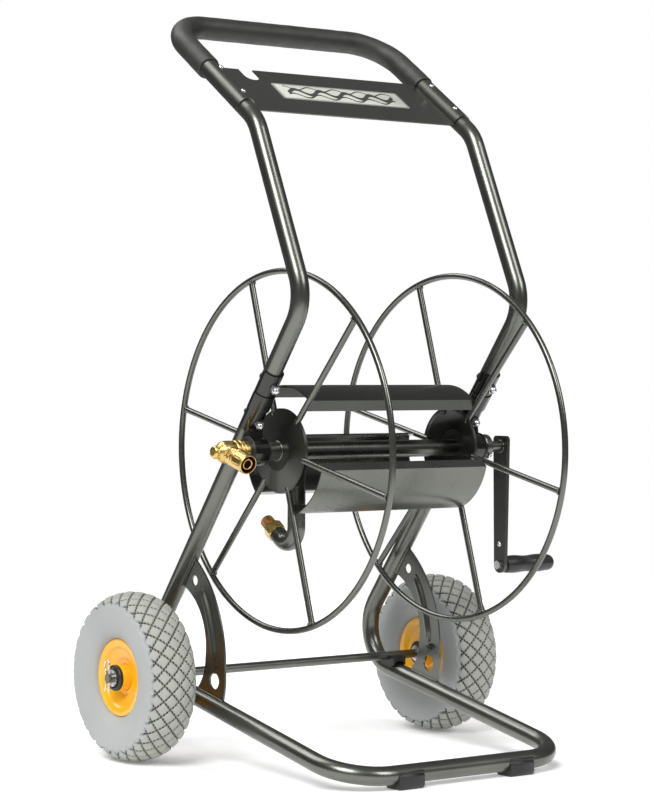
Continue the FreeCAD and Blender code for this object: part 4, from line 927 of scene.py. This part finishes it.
# %% Crank grip
GRIP_NEAR, CRANK_REACH = 281.0, 190.0
GRIP_AXIS = np.array([GRIP_NEAR, REEL[1], REEL[2] - CRANK_REACH])
s = np.linspace(2.0, 90.0, 60)
wavy = np.stack([s, 13.6 + 0.75 * np.cos(2 * np.pi * (s - 19) / 50)], axis=1)
dome_t = np.linspace(0, math.pi / 2, 12)[1:]
dome = np.stack([90 + 11 * np.sin(dome_t), wavy[-1, 1] * np.cos(dome_t) ** 0.62], axis=1)
dome[-1, 1] = 0
grip_line = np.vstack([[(0, 4.05), (0, 10.4), (0.4, 11.4), (1.1, 12.0)], wavy, dome,
                       [(89, 0), (89, 4.05)]])
piece("finger_grip", [turned(grip_line, GRIP_AXIS, X_WAY, 72)], "crank_grip",
      FINISHES["black_plastic"], ["crank_grip"], crease=50)

# %% [markdown]
# ## Bearing faces
# Each end of a bearing barrel is closed by a plastic flange with two moulded rings, which
# catch the light as fine circles. A turned profile with two small ridges gives them.

# %% Bearing faces
FLANGE = [(0.2, 13.5), (0.2, 16.98), (13.05, 16.98), (13.05, 23), (14.4, 23), (15.3, 22.4),
          (15.3, 21), (14.7, 20.6), (14.7, 19.2), (15.5, 18.8), (15.5, 17.6), (14.9, 17.2),
          (14.9, 15.8), (15.8, 15.2), (15.8, 13.5)]
for side, sign in (("left", -1), ("right", 1)):
    bearing = (sign * SIDE_X, REEL[1], REEL[2])
    halves = [turned(eased(FLANGE, 0.25, 3), bearing, X_WAY * way, 96) for way in (-1, 1)]
    piece(side + "_bearing_faces", halves, "frame", FINISHES["black_plastic"],
          [side + "_bearing_bush"])

# %% [markdown]
# ## Feet
# Two moulded clips grip the foot bar and keep its paint off the ground. Each is one short
# extrusion with a lip along its front edge and softly rounded ends, so a ring of points is
# carried along the bar and drawn in a little at both ends.

# %% Feet
FOOT_X, FOOT_MIDDLE = 105.0, np.array([1.0, 13.5])
foot_line = eased([(-17.5, 4), (-13.5, 0), (16, 0), (20, 4), (17.8, 27), (-15.6, 27),
                   (-15.6, 21.8), (-17.5, 20.4)], 2.0, 4)
# Each ring is (x, how far it is drawn in, share), and a share of 0 shuts the end.
FOOT_RINGS = ((-23, 2, 0), (-23, 2, 1), (-22.3, 0.7, 1), (-21, 0, 1),
              (21, 0, 1), (22.3, 0.7, 1), (23, 2, 1), (23, 2, 0))
rings = []
for x, inset, share in FOOT_RINGS:
    flat = FOOT_MIDDLE + (foot_line - FOOT_MIDDLE) * (1 - inset / FOOT_MIDDLE[1]) * share
    rings.append(np.column_stack([np.full(len(flat), x), flat]))
for side, sign in (("left", -1), ("right", 1)):
    piece(side + "_foot_clip", [(np.array(rings) + (sign * FOOT_X, FRONT[1], 0), False, True)],
          "frame", FINISHES["black_plastic"], [side + "_foot"], crease=50)

# %% [markdown]
# ## Maker's plate
# A thin plate is riveted to the top panel. The real one carries a name, so this one has a
# plain ornament of waves. The plate is a lid: an outline with round corners, lifted and
# shrunk to its middle. Two marks on the mesh say how far along and across a point lies.

# %% Maker's plate
PLATE_LENGTH, PLATE_HEIGHT, PLATE_MIDDLE = 246.0, 48.0, (8.0, 95.5)
half_x, half_y = PLATE_LENGTH / 2, PLATE_HEIGHT / 2
outline = eased([(-half_x, -half_y), (half_x, -half_y), (half_x, half_y), (-half_x, half_y)],
                5.0, 9)
# Each ring is (height over the panel's middle, how far it is drawn in, share).
PLATE_RINGS = ((1.02, 0, 0), (1.02, 0, 1), (1.55, 0, 1), (1.80, 0.4, 1), (1.80, 0.4, 0))
rings, lids = [], []
for lift, inset, share in PLATE_RINGS:
    flat = outline * np.array([1 - inset / half_x, 1 - inset / half_y]) * share
    rings.append(on_leg(PLATE_MIDDLE[0], PLATE_MIDDLE[1]) + OVER_LEG * lift
                 + flat[:, 1:] * LEG + flat[:, :1] * X_WAY)
    lids.append(flat)
rings, lids = np.array(rings), np.array(lids)
piece("maker_plate", [(rings, False, True)], "frame", FINISHES["badge"],
      ["badge_plate"], {"along": lids[..., 0] / PLATE_LENGTH, "over": lids[..., 1] / PLATE_HEIGHT})

# %% [markdown]
# ## Welds
# Spokes, discs, pipes and gussets are welded, and the beads stay visible under the paint as
# small rippled rolls. A bead is a thin round bar laid along the joint, whose radius
# swells and shrinks with each dab of the torch: R (1 + 0.2 sin of the count of dabs).

# %% Welds


def bead(line, radius, normal, closed=False, dab=3.2):
    """A rippled bar along a joint: its radius is R (1 + 0.2 sin(2 pi length / dab))."""
    line = np.asarray(line, float)
    length = np.linalg.norm(np.diff(line, axis=0), axis=1).sum()
    t = np.linspace(0, 2 * np.pi * max(round(length / dab), 3), len(line), endpoint=not closed)
    thick = radius * (1 + 0.2 * np.sin(t))
    if not closed:
        ends = np.linspace(0, 1, len(line))
        thick = thick * np.sqrt(np.clip(1 - (2 * ends - 1) ** 8, 0.0, 1))
    return swept(line, thick, normal, 12, closed)


def ring(middle, axis, radius, count=48):
    """A circle: middle + R (cos a side + sin a over)."""
    a = np.linspace(0, 2 * np.pi, count, endpoint=False)[:, None]
    side, over = across(axis)
    return np.asarray(middle, float) + radius * (np.cos(a) * side + np.sin(a) * over)


def ring_bead(middle, axis, radius, thick=1.5):
    """A bead laid round a circle."""
    return bead(ring(middle, axis, radius), thick, axis, True)


print("weld helpers ready")

# %% Welds of the reel
SPOKE_ANGLES = np.radians(12.5 + 60 * np.arange(6))
SPOKE_TIP, SPOKE_RADIUS, DISC_EDGE = 265.0, 4.7, 63.6
PIPE_RING, DISC_OUT, SPINDLE_X = 13.9, 8.2, 270.6
reel_beads = []
for x in HOOPS:
    centre = np.array([x, REEL[1], REEL[2]])
    for angle in SPOKE_ANGLES:
        way = np.array([0, math.cos(angle), math.sin(angle)])
        reel_beads.append(ring_bead(centre + way * SPOKE_TIP, way, 4.9, 1.7))
        stub = centre + way * np.linspace(59, 67, 9)[:, None]
        tip, radii = capped(stub, SPOKE_RADIUS)
        reel_beads.append(swept(tip, radii, X_WAY, 20))
        edge = centre + way * DISC_EDGE + X_WAY * np.linspace(-5.2, 5.2, 18)[:, None]
        reel_beads.append(bead(edge, 1.6, way))
# The outlet pipe leaves the axle tube, of the same width, along a saddle-shaped joint.
saddle = ring((PIPE_X, 0, 0), (0, 0, 1.0), PIPE_RING)
saddle[:, 2] = REEL[2] - np.sqrt(np.maximum(PIPE_RING ** 2 - saddle[:, 1] ** 2, 0))
saddle[:, 1] += REEL[1]
reel_beads.append(bead(saddle, 1.7, (0, 0, 1.0), True))
for x in HOOPS:
    face = x + math.copysign(DISC_OUT, x)
    reel_beads.append(ring_bead((face, REEL[1], REEL[2]), X_WAY, 14.2, 1.5))
reel_beads.append(ring_bead((SPINDLE_X, REEL[1], REEL[2]), X_WAY, 9.3, 1.4))
piece("reel_welds", reel_beads, "reel", FINISHES["reel_paint"], crease=60)

# %% Welds of the frame
# A gusset meets the slanting tube and the rail, on the side that faces into the bend. Each
# seam is (first and last distance from the rear corner, the tube's way, the side it is on).
SEAMS = ((180, 238, SLANT, np.array([0, -SLANT[2], SLANT[1]])),
         (-232, -160, RAIL, np.array([0, -RAIL[2], RAIL[1]])))
TUBE_SKIN, GUSSET_SKIN = 14.4, 2.2
frame_beads = []
for x in (-SIDE_X, SIDE_X):
    for low, high, way, lift in SEAMS:
        for face in (-GUSSET_SKIN, GUSSET_SKIN):
            t = np.linspace(low, high, 40)[:, None]
            line = REAR + t * way + lift * TUBE_SKIN + np.array([x + face, 0, 0])
            frame_beads.append(bead(line, 1.8, X_WAY))
piece("frame_welds", frame_beads, "frame", FINISHES["frame_paint"], crease=60)

# %% [markdown]
# ## Pressed ribs
# A flat plate would flex, so the curved brackets have a rib pressed along their middle.
# The rib's line is an arc, and its height over the plate is h cos^1.6 of the distance from
# that line, a round back that a press would leave. It fades out at both ends.

# %% Pressed ribs
# Three points of the rib's middle line, as (y, z).
RIB_TOP, RIB_MIDDLE, RIB_FOOT = (-56.0, 266.0), (-81.5, 214.0), (-93.0, 162.0)
RIB_HALF, RIB_HEIGHT = 9.0, 5.0


def arc_through(a, b, c, count):
    """Points of the circle through three points, from the first to the last. With points as
    complex numbers, its middle comes from w = (c - a) / (b - a) and |w|^2."""
    a, b, c = (complex(*q) for q in (a, b, c))
    w = (c - a) / (b - a)
    middle = (b - a) * (w - abs(w) ** 2) / (2j * w.imag) + a
    start, stop = np.angle(a - middle), np.angle(c - middle)
    if abs(stop - start) > math.pi:
        stop += 2 * math.pi * (1 if stop < start else -1)
    line = middle + abs(a - middle) * np.exp(1j * np.linspace(start, stop, count))
    return np.stack([line.real, line.imag], axis=1)


rib_line = arc_through(RIB_TOP, RIB_MIDDLE, RIB_FOOT, 60)
along = np.gradient(rib_line, axis=0)
along /= np.linalg.norm(along, axis=1, keepdims=True)
sideways = np.stack([-along[:, 1], along[:, 0]], axis=1)
share = np.linspace(-1, 1, 25)
fade = (1 - np.linspace(-1, 1, 60) ** 8)[:, None]
breadth = RIB_HALF * (0.55 + 0.45 * fade)
hump = RIB_HEIGHT * np.cos(share[None, :] * math.pi / 2) ** 1.6 * fade
for side, x in (("left", -SIDE_X), ("right", SIDE_X)):
    flat = rib_line[:, None] + sideways[:, None] * (breadth * share)[..., None]
    top = np.concatenate([(x - 1.4 - hump)[..., None], flat], axis=-1)
    low = np.concatenate([np.full_like(hump, x - 1.0)[..., None], flat], axis=-1)
    rib = np.concatenate([top, low[:, ::-1]], axis=1)
    piece(side + "_pressed_rib", [(rib, False, True)], "frame",
          FINISHES["frame_paint"], crease=60)
